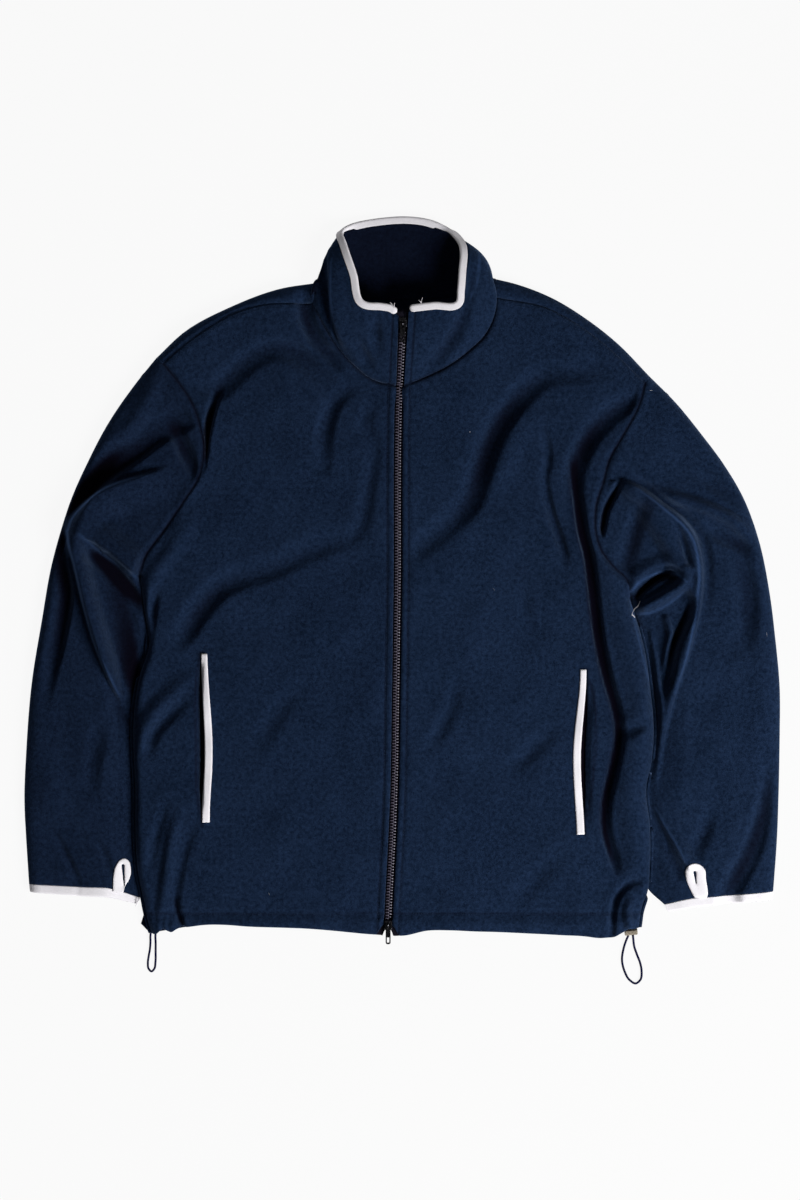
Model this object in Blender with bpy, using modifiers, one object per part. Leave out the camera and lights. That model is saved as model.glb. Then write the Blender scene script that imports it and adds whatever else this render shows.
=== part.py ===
"""A fleece zip jacket laid flat on its back, front up, sleeves down, zip closed.

The frame is the jacket's own: +X is the wearer's left, +Y runs from hem to collar and
+Z points up from the surface it lies on. Every size below is in millimetres, and the
meshes are written in metres. Each cloth piece is a sheet: a grid of points on its outer
face, worked out from the pattern's edges, that Solidify gives its thickness.
"""
import math
from collections import namedtuple

import bmesh
import bpy
import numpy as np
from mathutils import Matrix, Vector

MM = 0.001
SIDES = ("right", "left")

# ---------------------------------------------------------------- driving sizes
FLEECE = 2.5            # thickness of the body cloth
COLLAR_CLOTH = 3.0      # collar, turned and topstitched
SEAM = 0.5              # clear width of a seam, in plan
COLLAR_SEAM = 0.9       # the same round the neck, where walls meet at an angle
SHOULDER_GAP = 1.8      # the same at the shoulders, where the back's wall rolls over
REST = 0.3              # clear height under a piece that lies on another
ROLLED_EDGE = 3.7       # height where an upper sheet's outer face meets the lower sheet
BODY_RISE = 16.0        # outer face of the front over the floor
CUFF_RISE = 13.0        # the same at the cuffs
HEM_RISE = 13.0         # the same at the hem
EDGE_REACH = 14.0       # how far in from an edge the cloth is still rolling over
TUCK_REACH = 40.0       # the same where a sleeve slopes down beside the body
LOWEST_TOP = 6.2        # an outer face never comes closer to the floor than this
BINDING = 8.0           # width of the edge binding as it shows
BINDING_THICK = 4.4     # round the collar's edge
BINDING_GAP = 1.0       # clear width between the collar's cloth and its binding
CUFF_BINDING_THICK = 3.2
CASING_Y = -361.0       # stitch line over the drawcord casing
ZIP_GAP = 9.2           # clear width between the fronts
TAPE_WIDE = 11.0        # zip tape hidden under each front
TAPE_THICK = 0.9
TAPE_SPLIT = 0.6        # clear width between the two tapes
CHAIN_WIDE = 6.0
CHAIN_THICK = 2.2
CHAIN_SPAN = (-366.5, 267.5)    # between the two sliders, in Y
POCKET_MOUTH = 3.6      # widest gap of the pocket opening
WELT_WIDE = 8.0
WELT_THICK = 1.8
FACING_LAP = 8.0        # pocket facing beyond the mouth
FACING_THICK = 1.5
LOOP_THICK = 1.8        # thumb loop
LOOP_SLIT = 1.1         # half the width of the slit inside a thumb loop
CORD = 2.1              # diameter of the drawcord

# zip slider, in its own frame: Y along the zip, Z up from the tapes
SLIDER_WIDE = 8.4
SLIDER_PROFILE = [(-5.5, 0), (5.5, 0), (5.5, 1.8), (3.6, 3.6), (-3.6, 3.6), (-5.5, 1.8)]
BRIDGE_REACH = 3.0      # half the length of the bridge that holds the tab
BRIDGE_RISE = 3.6
BRIDGE_THICK = 1.4
HINGE_BACK = 0.6        # the tab's bar from the middle of the bridge
HINGE_RISE = 1.4        # and over the top of the slider
TAB_WIDE = 5.4
TAB_LONG = 21.0
TAB_THICK = 1.2
TAB_WINDOW = (0.6, 4.4, 1.5)    # from, to and half width, from the bar's middle
TAB_HOLE = (13.0, 18.6, 1.3)    # the same for the opening at the free end

# ---------------------------------------------------------------- pattern edges, in plan
# Each edge runs through its points as one smooth curve.
ZIP_LINE = [(-16, -386), (-15, -359), (-12, -303), (-9, -238), (-7, -130), (-5, 21),
            (-5, 108), (-3, 216), (1, 280), (1, 297)]
SILHOUETTE = {          # outer fold of a sleeve, shoulder point to cuff
    "right": [(-267, 239), (-291, 209), (-319, 168), (-341, 126), (-358, 88), (-369, 55),
              (-380, 14), (-390, -43), (-401, -111), (-407, -185), (-409, -240),
              (-407, -282), (-404, -329)],
    "left": [(268, 219), (295, 192), (322, 159), (350, 121), (369, 88), (383, 51),
             (398, -20), (403, -61), (408, -116), (408, -172), (407, -227), (405, -282),
             (401, -337)],
}
SHOULDER_FOLD = {       # where the back turns over to the front, shoulder point to neck
    "right": [(-267, 239), (-236, 268), (-186, 295), (-131, 315), (-93, 321)],
    "left": [(268, 219), (232, 256), (196, 284), (163, 304), (122, 320), (97, 326)],
}
SHOULDER_SEAM = {       # armhole end to neck end
    "right": [(-259, 234), (-241, 250), (-214, 270), (-181, 289), (-154, 297), (-98, 299)],
    "left": [(262, 213), (226, 248), (191, 275), (156, 294), (101, 305)],
}
ARMHOLE = {             # underarm to shoulder seam
    "right": [(-284, 3), (-278, 24), (-259, 51), (-236, 85), (-219, 113), (-215, 145),
              (-219, 168), (-228, 192), (-245, 217), (-259, 234)],
    "left": [(246, -20), (242, 0), (226, 16), (214, 33), (208, 58), (209, 79), (217, 106),
             (223, 129), (237, 154), (256, 190), (262, 213)],
}
SIDE = {                # hem to underarm
    "right": [(-272, -382), (-277, -364), (-280, -348), (-286, -318), (-289, -268),
              (-289, -227), (-291, -185), (-291, -151), (-284, -103), (-275, -75),
              (-280, -29), (-284, 3)],
    "left": [(256, -376), (259, -356), (266, -334), (268, -309), (268, -268), (264, -227),
             (270, -194), (272, -158), (268, -116), (262, -75), (246, -20)],
}
HEM = {                 # side to zip
    "right": [(-272, -382), (-236, -376), (-214, -373), (-159, -375), (-104, -377),
              (-35, -383), (-20.6, -384)],
    "left": [(256, -376), (240, -380), (226, -386), (191, -385), (152, -383), (79, -380),
             (21, -380), (-2, -385), (-11.4, -385)],
}
NECK = {                # zip to shoulder seam
    "right": [(-7.4, 209), (-33, 216), (-50, 229), (-68, 248), (-80, 266), (-91, 286),
              (-98, 299)],
    "left": [(1.8, 209), (21, 217), (50, 231), (74, 249), (89, 264), (99, 285), (101, 305)],
}
BACK_NECK = [(-84, 312), (-46, 306), (1, 304), (46, 306), (88, 315)]
BACK_HEM = [(-276, -381), (-200, -371), (0, -372), (200, -371), (255, -373)]
CUFF = {                # edge of the sleeve cloth, outer fold to inner fold
    "right": [(-404, -329), (-344, -332), (-313, -334), (-301, -338), (-284, -344)],
    "left": [(401, -337), (328, -343), (314, -344), (283, -351)],
}
POCKET_LINE = {         # row of the front's grid: place of the pocket mouth's front edge
    "right": {0: (-212, -373), 2: (-211, -361), 6: (-216, -262), 10: (-213, -185),
              14: (-217, -80), 18: (-214, 3), 27: (-160, 150), 36: (-181, 289)},
    "left": {0: (198, -385), 2: (198, -366), 6: (196, -275), 10: (192, -190),
             14: (198, -97), 18: (188, -15), 27: (150, 130), 36: (191, 275)},
}

CUFF_BINDING_EDGE = {   # lower edge of the cuff binding, outer fold to inner fold
    "right": [(-403, -338), (-344, -342), (-310, -345), (-303, -347), (-287, -351)],
    "left": [(400, -346), (317, -354), (287, -359)],
}
THUMB_LOOP = {          # outer edge of each thumb loop and the ends of its slit
    "right": ([(-310, -332), (-308.5, -322), (-305, -310), (-300, -303), (-295, -304),
               (-294, -313), (-297, -325), (-302, -336)], ((-304, -326), (-301, -310))),
    "left": ([(316, -333), (311, -325), (306, -316), (308, -308), (315, -308),
              (324, -316), (327, -327), (326, -334)], ((318, -330), (315, -316))),
}
# name: Y of the zip line it sits at, droop of its tab below the slider in degrees
SLIDERS = {"top": (276.0, 8.0), "bottom": (-373.0, 9.0)}
# side: one end, other end, radius
CORD_LOCKS = {"right": ((-266, -371.5, 5.7), (-253, -371.5, 5.7), 2.8),
              "left": ((240, -381.3, 6.6), (254, -380.1, 6.6), 3.8)}
CORD_PATHS = {          # from the cord lock, round the loop and back
    "right": [(-267.5, -372.2, 5.6), (-268.2, -376.6, 5.2), (-268.2, -381.6, 4.6),
              (-268.9, -386.4, 2.6), (-271, -391.6, 1.1), (-274, -399, 1.1),
              (-275.4, -407, 1.1), (-276.4, -415, 1.1), (-275.4, -421.5, 1.1),
              (-271.8, -424.8, 1.1), (-268.3, -421.8, 1.1), (-267.2, -412, 1.1),
              (-267.1, -401, 1.1), (-265.6, -392, 1.1), (-263.9, -386.4, 2.6),
              (-262.6, -381.6, 4.6), (-261, -377, 5.4)],
    "left": [(244.2, -384.9, 5.0), (242.2, -389.8, 2.8), (239.6, -398, 1.1),
             (237.6, -412, 1.1), (240.4, -424, 1.1), (246, -433.5, 1.1), (252.5, -437, 1.1),
             (257.5, -433, 1.1), (258.8, -424, 1.1), (257.4, -415.5, 1.1),
             (253.5, -405, 1.1), (250.6, -396, 1.1), (249.8, -389.6, 2.8),
             (249.2, -384.5, 5.0)],
}

# ---------------------------------------------------------------- rows of the grids
SIDE_LEVELS = {         # heights of the rows from hem to underarm
    "right": [-382, -372, -361, -340, -318, -290, -262, -243, -224, -205, -185, -160, -134,
              -107, -80, -58, -38, -18, 3],
    "left": [-376, -370, -361, -344, -324, -300, -275, -254, -232, -211, -190, -166, -143,
             -120, -97, -78, -58, -39, -20],
}
ARMHOLE_ROWS = 18
NECK_ROWS = 9
ZIP_ROWS = 27           # rows of a front from hem to the middle of the neck
CUFF_ROWS = 16          # rows of a sleeve from underarm to cuff
POCKET_ROWS = (6, 14)
SHARED_COLUMNS = (0, 3, 6, 9, 12, 16)   # the back meets the front's shoulder seam here
COLLAR_ROWS = 5
SMOOTH_TURNS = 6        # how often the collar's wall directions are evened out

# ---------------------------------------------------------------- folds
# Each fold follows a curve through three points. height is its middle above (+) or
# below (-) the cloth, left and right are how far it spreads on each side of that
# direction, and lean pushes its crest over to the left.
Fold = namedtuple("Fold", "cloth start middle end height left right lean")
FOLDS = [
    # long soft troughs of the fronts
    Fold("body", (205, 228), (99, 154), (24, 44), -4.5, 30, 30, 0),
    Fold("body", (156, 145), (157, 80), (168, 24), -3.0, 18, 18, 0),
    Fold("body", (-203, 199), (-165, 246), (-116, 253), -3.0, 22, 22, 0),
    Fold("body", (-89, 194), (-87, 162), (-84, 129), -2.5, 22, 22, 0),
    Fold("body", (-132, 21), (-100, 37), (-68, 54), -2.5, 26, 26, 0),
    Fold("body", (-99, 290), (-88, 262), (-57, 214), -3.0, 14, 14, 0),
    # the deep fold down the wearer's left side and the roll outside it
    Fold("body", (191, 145), (196, 24), (221, -103), -8.5, 12, 16, 0),
    Fold("body", (221, -95), (234, -157), (218, -262), -8.5, 12, 13, 0),
    Fold("body", (218, -245), (228, -309), (227, -390), -7.0, 11, 11, 0),
    Fold("body", (214, 70), (238, -65), (252, -200), 9.0, 18, 16, 0),
    Fold("body", (252, -190), (246, -265), (248, -345), 7.0, 16, 14, 0),
    Fold("body", (266, -328), (233, -337), (226, -380), -5.0, 8, 8, 0),
    # gathers and creases down the wearer's right side
    Fold("body", (-241, -290), (-243, -346), (-237, -388), -6.0, 9, 9, 0),
    Fold("body", (-255, -235), (-262, -265), (-269, -300), -4.0, 10, 10, 0),
    Fold("body", (-198, -14), (-218, -45), (-236, -80), -4.0, 14, 14, 0),
    Fold("body", (-226, -103), (-259, -135), (-273, -178), 4.0, 16, 16, 0),
    Fold("body", (-262, 0), (-270, -40), (-268, -78), -4.0, 8, 8, 0),
    Fold("body", (-200, 196), (-206, 150), (-214, 105), 5.0, 9, 16, 0),
    # the flap of cloth that lies over the wearer's right sleeve
    Fold("sleeve", (-243, 174), (-299, 104), (-364, 58), 12.0, 44, 10, -6),
    Fold("sleeve", (-361, 58), (-346, -20), (-290, -142), 10.0, 24, 10, -5),
    Fold("sleeve", (-352, 52), (-312, 14), (-286, -14), -9.0, 10, 12, 0),
    Fold("sleeve", (-372, 92), (-370, 20), (-352, -90), -5.0, 11, 11, 0),
    Fold("sleeve", (-322, 136), (-286, 142), (-252, 168), -5.0, 16, 14, 0),
    Fold("sleeve", (-322, -14), (-309, -70), (-300, -120), -6.0, 8, 8, 0),
    Fold("sleeve", (-220, 178), (-226, 150), (-224, 120), -4.0, 9, 10, 0),
    # the twist of cloth under the wearer's left arm
    Fold("sleeve", (231, 110), (292, 78), (318, 24), 13.0, 10, 26, 5),
    Fold("sleeve", (318, 34), (312, -70), (274, -205), 11.0, 10, 20, 4),
    Fold("sleeve", (233, 106), (224, 88), (217, 63), -10.0, 7, 7, 0),
    Fold("sleeve", (288, 63), (296, 28), (305, -6), 6.0, 9, 9, 0),
    Fold("sleeve", (258, 62), (246, 22), (250, -16), -7.0, 10, 10, 0),
    Fold("sleeve", (250, -18), (280, 6), (306, -4), 8.0, 9, 9, 0),
    Fold("sleeve", (264, -18), (282, -8), (300, -4), -12.0, 8, 8, 0),
    Fold("sleeve", (256, -30), (282, -29), (306, -12), 9.0, 9, 9, 0),
    Fold("sleeve", (292, -34), (296, -86), (286, -142), -7.0, 8, 8, 0),
    Fold("sleeve", (322, 92), (362, 78), (388, 44), 4.0, 16, 16, 0),
    Fold("sleeve", (396, -194), (370, -270), (352, -330), -3.0, 16, 16, 0),
    # the collar's upright fold on one side and its hollow on the other
    Fold("collar", (-78, 352), (-79, 310), (-74, 268), 4.0, 12, 14, 0),
    Fold("collar", (80, 322), (69, 276), (50, 244), -5.0, 12, 12, 0),
]
FOLD_TAPER = 0.22       # share of a fold's length over which each end dies away

# ---------------------------------------------------------------- collar
# Upper edge of the collar by column of its grid: x, y, z, then how the wall between
# the neck seam and that edge bulges.
Rim = namedtuple("Rim", "column x y z bulge_x bulge_y bulge_z")
COLLAR_RIM = [
    Rim(0, -3.6, 294, 40, 0, 0, 4),
    Rim(2, -22, 297, 40, 0, 0, 4),
    Rim(4, -43, 301, 40, -2, 0, 4),
    Rim(6, -49, 328, 37, -7, -1, 5),
    Rim(8, -57, 352, 30, -7, 0, 5),
    Rim(9, -61, 364, 24, -6, 2, 3),
    Rim(11, -65, 376, 14, -4, 3, 0),
    Rim(14, -50, 387, 4.5, 0, 0, 0),
    Rim(17, 4, 393, 3.8, 0, 0, 0),
    Rim(20, 52, 382, 8, 0, 0, 0),
    Rim(22, 64, 373, 18, 8, 5, 0),
    Rim(25, 69, 355, 30, 8, 2, 4),
    Rim(27, 66, 334, 36, 6, -1, 5),
    Rim(29, 63, 312, 40, 4, -1, 5),
    Rim(30, 61, 300, 41, 3, 0, 4),
    Rim(32, 34, 298, 41, 0, 0, 4),
    Rim(34, 5.6, 294, 40, 0, 0, 4),
]

# ---------------------------------------------------------------- materials
# name: colour, roughness, metallic
FINISHES = {
    "fleece": ((0.010, 0.021, 0.058, 1.0), 0.95, 0.0),
    "binding": ((0.72, 0.70, 0.73, 1.0), 0.85, 0.0),
    "lining": ((0.006, 0.008, 0.016, 1.0), 0.90, 0.0),
    "zip_tape": ((0.010, 0.010, 0.016, 1.0), 0.90, 0.0),
    "zip_teeth": ((0.030, 0.024, 0.032, 1.0), 0.45, 0.0),
    "zip_metal": ((0.045, 0.045, 0.050, 1.0), 0.35, 1.0),
    "drawcord": ((0.012, 0.014, 0.060, 1.0), 0.80, 0.0),
    "cord_lock": ((0.42, 0.36, 0.28, 1.0), 0.40, 1.0),
}


# ================================================================ curves and heights
def hermite(stations, values, at):
    """Values of the smooth curve that takes each value at its station."""
    stations = np.asarray(stations, float)
    values = np.asarray(values, float)
    at = np.clip(np.asarray(at, float), stations[0], stations[-1])
    slopes = np.gradient(values, stations, axis=0)
    cell = np.clip(np.searchsorted(stations, at, side="right") - 1, 0, len(stations) - 2)
    span = (stations[cell + 1] - stations[cell])[:, None]
    u = (at - stations[cell])[:, None] / span
    return ((1 + 2 * u) * (1 - u) ** 2 * values[cell] + u * (1 - u) ** 2 * span * slopes[cell]
            + u * u * (3 - 2 * u) * values[cell + 1] + u * u * (u - 1) * span * slopes[cell + 1])


def along(points, at):
    """Points of the smooth curve through points, at shares 0 to 1 of its length."""
    points = np.asarray(points, float)
    steps = np.linalg.norm(np.diff(points, axis=0), axis=1)
    stations = np.concatenate([[0.0], np.cumsum(steps)])
    return hermite(stations / stations[-1], points, at)


def x_at(points, heights):
    """X of a curve that climbs steadily in Y, at the heights asked for."""
    line = along(points, np.linspace(0, 1, 300))
    return np.interp(heights, line[:, 1], line[:, 0])


def offset(line, distance):
    """A line moved sideways in plan, to the left of its direction if positive."""
    run = np.gradient(line[:, :2], axis=0)
    run /= np.linalg.norm(run, axis=1)[:, None]
    moved = line.copy()
    moved[:, 0] -= distance * run[:, 1]
    moved[:, 1] += distance * run[:, 0]
    return moved


def from_line(line, points):
    """Distance of each point to a line, its signed side and its share along it."""
    start, run = line[:-1], np.diff(line, axis=0)
    length = np.linalg.norm(run, axis=1)
    gap = points[:, None, :] - start[None]
    share = np.clip((gap * run).sum(2) / length ** 2, 0, 1)
    away = gap - share[..., None] * run
    distance = np.linalg.norm(away, axis=2)
    nearest = distance.argmin(axis=1)
    pick = np.arange(len(points))
    side = np.sign(run[nearest, 0] * away[pick, nearest, 1]
                   - run[nearest, 1] * away[pick, nearest, 0])
    passed = np.concatenate([[0.0], np.cumsum(length)])
    travelled = passed[nearest] + share[pick, nearest] * length[nearest]
    return distance[pick, nearest], side, travelled / passed[-1]


def ease(share):
    share = np.clip(share, 0, 1)
    return share * share * (3 - 2 * share)


def roll(distance, reach):
    """0 at an edge, 1 from reach inwards, upright at the edge as rolled cloth is."""
    return np.sqrt(1 - (1 - np.clip(distance / reach, 0, 1)) ** 2)


def fold_shift(cloth, points):
    """Sum of the folds of one cloth at each point: sideways shift and height."""
    shift = np.zeros((len(points), 3))
    for fold in FOLDS:
        if fold.cloth != cloth:
            continue
        line = hermite([0, 1, 2], [fold.start, fold.middle, fold.end], np.linspace(0, 2, 25))
        distance, side, share = from_line(line, points)
        spread = np.where(side > 0, fold.left, fold.right)
        crest = (1 - np.clip(distance / spread, 0, 1) ** 2) ** 2
        crest *= ease(np.minimum(share, 1 - share) / FOLD_TAPER)
        shift[:, 2] += fold.height * crest
        if fold.lean:
            run = np.array(fold.end, float) - fold.start
            run /= np.linalg.norm(run)
            shift[:, 0] -= fold.lean * crest * run[1]
            shift[:, 1] += fold.lean * crest * run[0]
    return shift


DENSE = np.linspace(0, 1, 90)
OUTER_LINE = {side: np.vstack([along(SHOULDER_FOLD[side], DENSE)[::-1],
                               along(SILHOUETTE[side], DENSE)[1:]]) for side in SIDES}
SIDE_LINE = {side: along(SIDE[side], DENSE) for side in SIDES}
ARMHOLE_LINE = {side: along(ARMHOLE[side], DENSE) for side in SIDES}


def lift(cloth, points):
    """Points in plan, raised to the outer face of the upper cloth."""
    points = np.asarray(points, float)[:, :2]
    outer = np.minimum(*(from_line(OUTER_LINE[side], points)[0] for side in SIDES))
    beside = np.minimum(*(from_line(SIDE_LINE[side], points)[0] for side in SIDES))
    height = points[:, 1]
    if cloth == "body":
        rise = HEM_RISE + (BODY_RISE - HEM_RISE) * ease((height + 380) / 90)
        reach = EDGE_REACH
        bead = np.exp(-((height - CASING_Y + 11) / 6) ** 2)
        groove = np.exp(-((height - CASING_Y) / 4) ** 2)
        rise = rise + 1.5 * bead - 1.2 * groove
    else:
        rise = CUFF_RISE + (BODY_RISE - CUFF_RISE) * ease((height + 330) / 300)
        reach = EDGE_REACH + (TUCK_REACH - EDGE_REACH) * ease(-(height - 0) / 90)
    edge = roll(outer, EDGE_REACH) * roll(beside, reach)
    top = ROLLED_EDGE + (rise - ROLLED_EDGE) * edge
    sewn = np.minimum(*(from_line(ARMHOLE_LINE[side], points)[0] for side in SIDES))
    shift = fold_shift(cloth, points)
    shift *= (ease(outer / 22) * ease(beside / 12) * ease(sewn / 9))[:, None]
    raised = np.maximum(top + shift[:, 2], np.minimum(top, LOWEST_TOP))
    return np.column_stack([points + shift[:, :2], raised])


# ================================================================ objects
def material(name):
    finish = bpy.data.materials.get(name)
    if finish is None:
        colour, roughness, metallic = FINISHES[name]
        finish = bpy.data.materials.new(name)
        finish.use_nodes = True
        shader = finish.node_tree.nodes["Principled BSDF"]
        shader.inputs["Base Color"].default_value = colour
        shader.inputs["Roughness"].default_value = roughness
        shader.inputs["Metallic"].default_value = metallic
        finish.diffuse_color = colour
    return finish


def finish_object(piece, finish):
    """Gives a piece a material of its own, copied from its finish."""
    own = material(finish).copy()
    own.name = piece.name + "_" + finish
    piece.data.materials.clear()
    piece.data.materials.append(own)
    return piece


def sheet(name, grid, wall, finish, out=0.0, up=True, holes=(), closed=False):
    """A cloth wall on a grid of points of its outer face.

    grid is rows by columns by 3, out moves the outer face outwards, up says which way
    the face looks, holes are the cells left out, and closed joins the last column
    to the first.
    """
    grid = np.asarray(grid, float)
    rows, columns = grid.shape[:2]
    mesh = bmesh.new()
    corner = [[mesh.verts.new(point * MM) for point in row] for row in grid]
    for i in range(rows - 1):
        for j in range(columns if closed else columns - 1):
            if (i, j) in holes:
                continue
            nxt = (j + 1) % columns
            loop = [corner[i][j], corner[i][nxt], corner[i + 1][nxt], corner[i + 1][j]]
            mesh.faces.new(loop if up else loop[::-1])
    bmesh.ops.delete(mesh, geom=[v for v in mesh.verts if not v.link_faces], context="VERTS")
    bmesh.ops.remove_doubles(mesh, verts=mesh.verts, dist=1e-6)
    data = bpy.data.meshes.new(name)
    mesh.to_mesh(data)
    mesh.free()
    piece = bpy.data.objects.new(name, data)
    parts.objects.link(piece)
    solid = piece.modifiers.new("wall", "SOLIDIFY")
    solid.thickness = wall * MM
    solid.offset = -1 + 2 * out / wall
    return finish_object(piece, finish)


def wall_between(name, outer, inner, finish):
    """A cloth wall between two grids that face each other."""
    rows, columns = outer.shape[:2]
    points = np.vstack([outer.reshape(-1, 3), inner.reshape(-1, 3)]) * MM
    place = lambda i, j, layer: layer * rows * columns + i * columns + j
    faces = []
    for i in range(rows - 1):
        for j in range(columns - 1):
            cell = [(i, j), (i, j + 1), (i + 1, j + 1), (i + 1, j)]
            faces.append([place(*spot, 0) for spot in cell[::-1]])
            faces.append([place(*spot, 1) for spot in cell])
    ring = ([(0, j) for j in range(columns)] + [(i, columns - 1) for i in range(1, rows)]
            + [(rows - 1, j) for j in range(columns - 2, -1, -1)]
            + [(i, 0) for i in range(rows - 2, 0, -1)])
    for a, b in zip(ring, ring[1:] + ring[:1]):
        faces.append([place(*a, 0), place(*b, 0), place(*b, 1), place(*a, 1)])
    data = bpy.data.meshes.new(name)
    data.from_pydata(points.tolist(), [], faces)
    piece = bpy.data.objects.new(name, data)
    parts.objects.link(piece)
    return finish_object(piece, finish)


def tube(name, points, diameter, finish, closed=False):
    """A round cord along points that are read from a smooth curve."""
    curve = bpy.data.curves.new(name, "CURVE")
    curve.dimensions = "3D"
    curve.bevel_depth = diameter / 2 * MM
    curve.bevel_resolution = 2
    curve.use_fill_caps = True
    line = curve.splines.new("POLY")
    line.points.add(len(points) - 1)
    for place, point in zip(line.points, points):
        place.co = (*(np.asarray(point) * MM), 1)
    line.use_cyclic_u = closed
    piece = bpy.data.objects.new(name, curve)
    parts.objects.link(piece)
    return finish_object(piece, finish)


# ================================================================ the pattern's grids
def body_edge(side):
    """Shared samples of a body edge: hem to underarm, then to the shoulder seam."""
    levels = np.array(SIDE_LEVELS[side], float)
    lower = np.column_stack([x_at(SIDE[side], levels), levels])
    upper = along(ARMHOLE[side], np.linspace(0, 1, ARMHOLE_ROWS + 1))
    return np.vstack([lower, upper[1:]])


EDGE = {side: body_edge(side) for side in SIDES}
UNDERARM = len(SIDE_LEVELS["right"]) - 1
INWARD = {"right": -1, "left": 1}       # offset sign that moves a body edge into the body


def front_grid(side):
    """Grid of one front, hem to shoulder seam by side to zip, and the mouth's columns."""
    sign = -1 if side == "right" else 1
    outer = offset(EDGE[side], INWARD[side] * SEAM / 2)
    last = len(outer) - 1
    underarm_y = EDGE[side][UNDERARM, 1]
    hem_y = HEM[side][-1][1]
    levels = np.array(SIDE_LEVELS[side], float)
    lower = hem_y + (levels - levels[0]) * (underarm_y - hem_y) / (underarm_y - levels[0])
    upper = np.linspace(underarm_y, NECK[side][0][1], ZIP_ROWS - UNDERARM + 1)[1:]
    zip_y = np.concatenate([lower, upper])
    zip_edge = np.column_stack([x_at(ZIP_LINE, zip_y) + sign * ZIP_GAP / 2, zip_y])
    neck = along(NECK[side], np.linspace(0, 1, NECK_ROWS + 1))
    inner = np.vstack([zip_edge, neck[1:]])
    guide_rows = sorted(POCKET_LINE[side])
    guide = hermite(guide_rows, [POCKET_LINE[side][row] for row in guide_rows],
                    np.arange(last + 1))
    grid = np.zeros((last + 1, 17, 2))
    for i in range(last + 1):
        first = np.linalg.norm(guide[i] - outer[i])
        second = np.linalg.norm(inner[i] - guide[i])
        opened = (i - POCKET_ROWS[0]) / (POCKET_ROWS[1] - POCKET_ROWS[0])
        mouth = 1.0 + (POCKET_MOUTH - 1.0) * math.sin(math.pi * min(max(opened, 0), 1))
        inside = first - mouth
        places = [0, 1.5, 5, 11, 11 + (inside - 11) / 3, 11 + (inside - 11) * 2 / 3, inside]
        places += [first + (second - 14) * k / 8 for k in range(9)] + [first + second]
        ends = [0, first, first + second]
        grid[i] = hermite(ends, [outer[i], guide[i], inner[i]], places)
    lengths = np.linalg.norm(np.diff(grid[0], axis=0), axis=1)
    shares = np.concatenate([[0], np.cumsum(lengths)]) / lengths.sum()
    hem = along(HEM[side], shares) - grid[0]
    for i, part in enumerate((1.0, 0.5)):
        grid[i, 1:-1] += part * hem[1:-1]
    lengths = np.linalg.norm(np.diff(grid[last], axis=0), axis=1)
    shares = np.concatenate([[0], np.cumsum(lengths)]) / lengths.sum()
    seam = along(SHOULDER_SEAM[side], shares) - grid[last]
    for back, part in enumerate((1.0, 0.75, 0.4, 0.15)):
        grid[last - back, 1:-1] += part * seam[1:-1]
    return grid


def straighten(row):
    """Puts a seam's points on straight runs between the columns that it shares."""
    for a, b in zip(SHARED_COLUMNS, SHARED_COLUMNS[1:]):
        for j in range(a + 1, b):
            share = (np.linalg.norm(row[j, :2] - row[a, :2])
                     / max(np.linalg.norm(row[b, :2] - row[a, :2]), 1e-9))
            row[j] = row[a] + min(share, 1) * (row[b] - row[a])
    return row


def lift_grid(cloth, grid):
    rows, columns = grid.shape[:2]
    return lift(cloth, grid.reshape(-1, grid.shape[2])).reshape(rows, columns, 3)


FRONT = {side: lift_grid("body", front_grid(side)) for side in SIDES}
for side_name in SIDES:
    straighten(FRONT[side_name][-1])


def sleeve_edges(side):
    """Outer and inner edge of a sleeve, shoulder to cuff, row by row."""
    fold = along(SILHOUETTE[side], np.linspace(0, 1, 400))
    down = np.interp(20, -fold[:, 1], np.linspace(0, 1, 400))
    shares = np.concatenate([np.linspace(0, down, ARMHOLE_ROWS + 1),
                             np.linspace(down, 1, CUFF_ROWS + 1)[1:]])
    outer = along(SILHOUETTE[side], shares)
    body = offset(EDGE[side], -INWARD[side] * SEAM / 2)
    inner = body[::-1][:ARMHOLE_ROWS + CUFF_ROWS]
    corner = np.array([CUFF[side][-1]], float)
    inner = np.vstack([inner, corner])
    return outer, inner


def sleeve_grid(side, row_step, places):
    """Grid of one sleeve layer; places gives the columns for a row's width."""
    outer, inner = sleeve_edges(side)
    outer[0] = inner[0]
    rows = list(range(0, len(outer), row_step))
    grid = []
    for i in rows:
        width = np.linalg.norm(inner[i] - outer[i])
        shares = np.array(places(width))
        if i == len(outer) - 1:
            grid.append(along(CUFF[side], shares))
        else:
            grid.append(outer[i] + shares[:, None] * (inner[i] - outer[i]))
    return np.array(grid)


def upper_places(width):
    scale = min(1.0, width / 80) / max(width, 1e-6)
    near = np.array([0, 1.5, 5, 11]) * scale
    middle = near[-1] + (1 - 2 * near[-1]) * np.arange(1, 8) / 8
    return np.concatenate([near, middle, 1 - near[::-1]])


def under_places(width):
    return np.linspace(0, 1, 6)


def coons(bottom, top, left, right):
    """Points inside four edges. bottom and top run left to right, the others upwards."""
    s = np.linspace(0, 1, len(bottom))[None, :, None]
    t = np.linspace(0, 1, len(left))[:, None, None]
    across = (1 - s) * left[:, None] + s * right[:, None]
    upwards = (1 - t) * bottom[None] + t * top[None]
    corners = ((1 - s) * (1 - t) * bottom[0] + s * (1 - t) * bottom[-1]
               + (1 - s) * t * top[0] + s * t * top[-1])
    return across + upwards - corners


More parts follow.
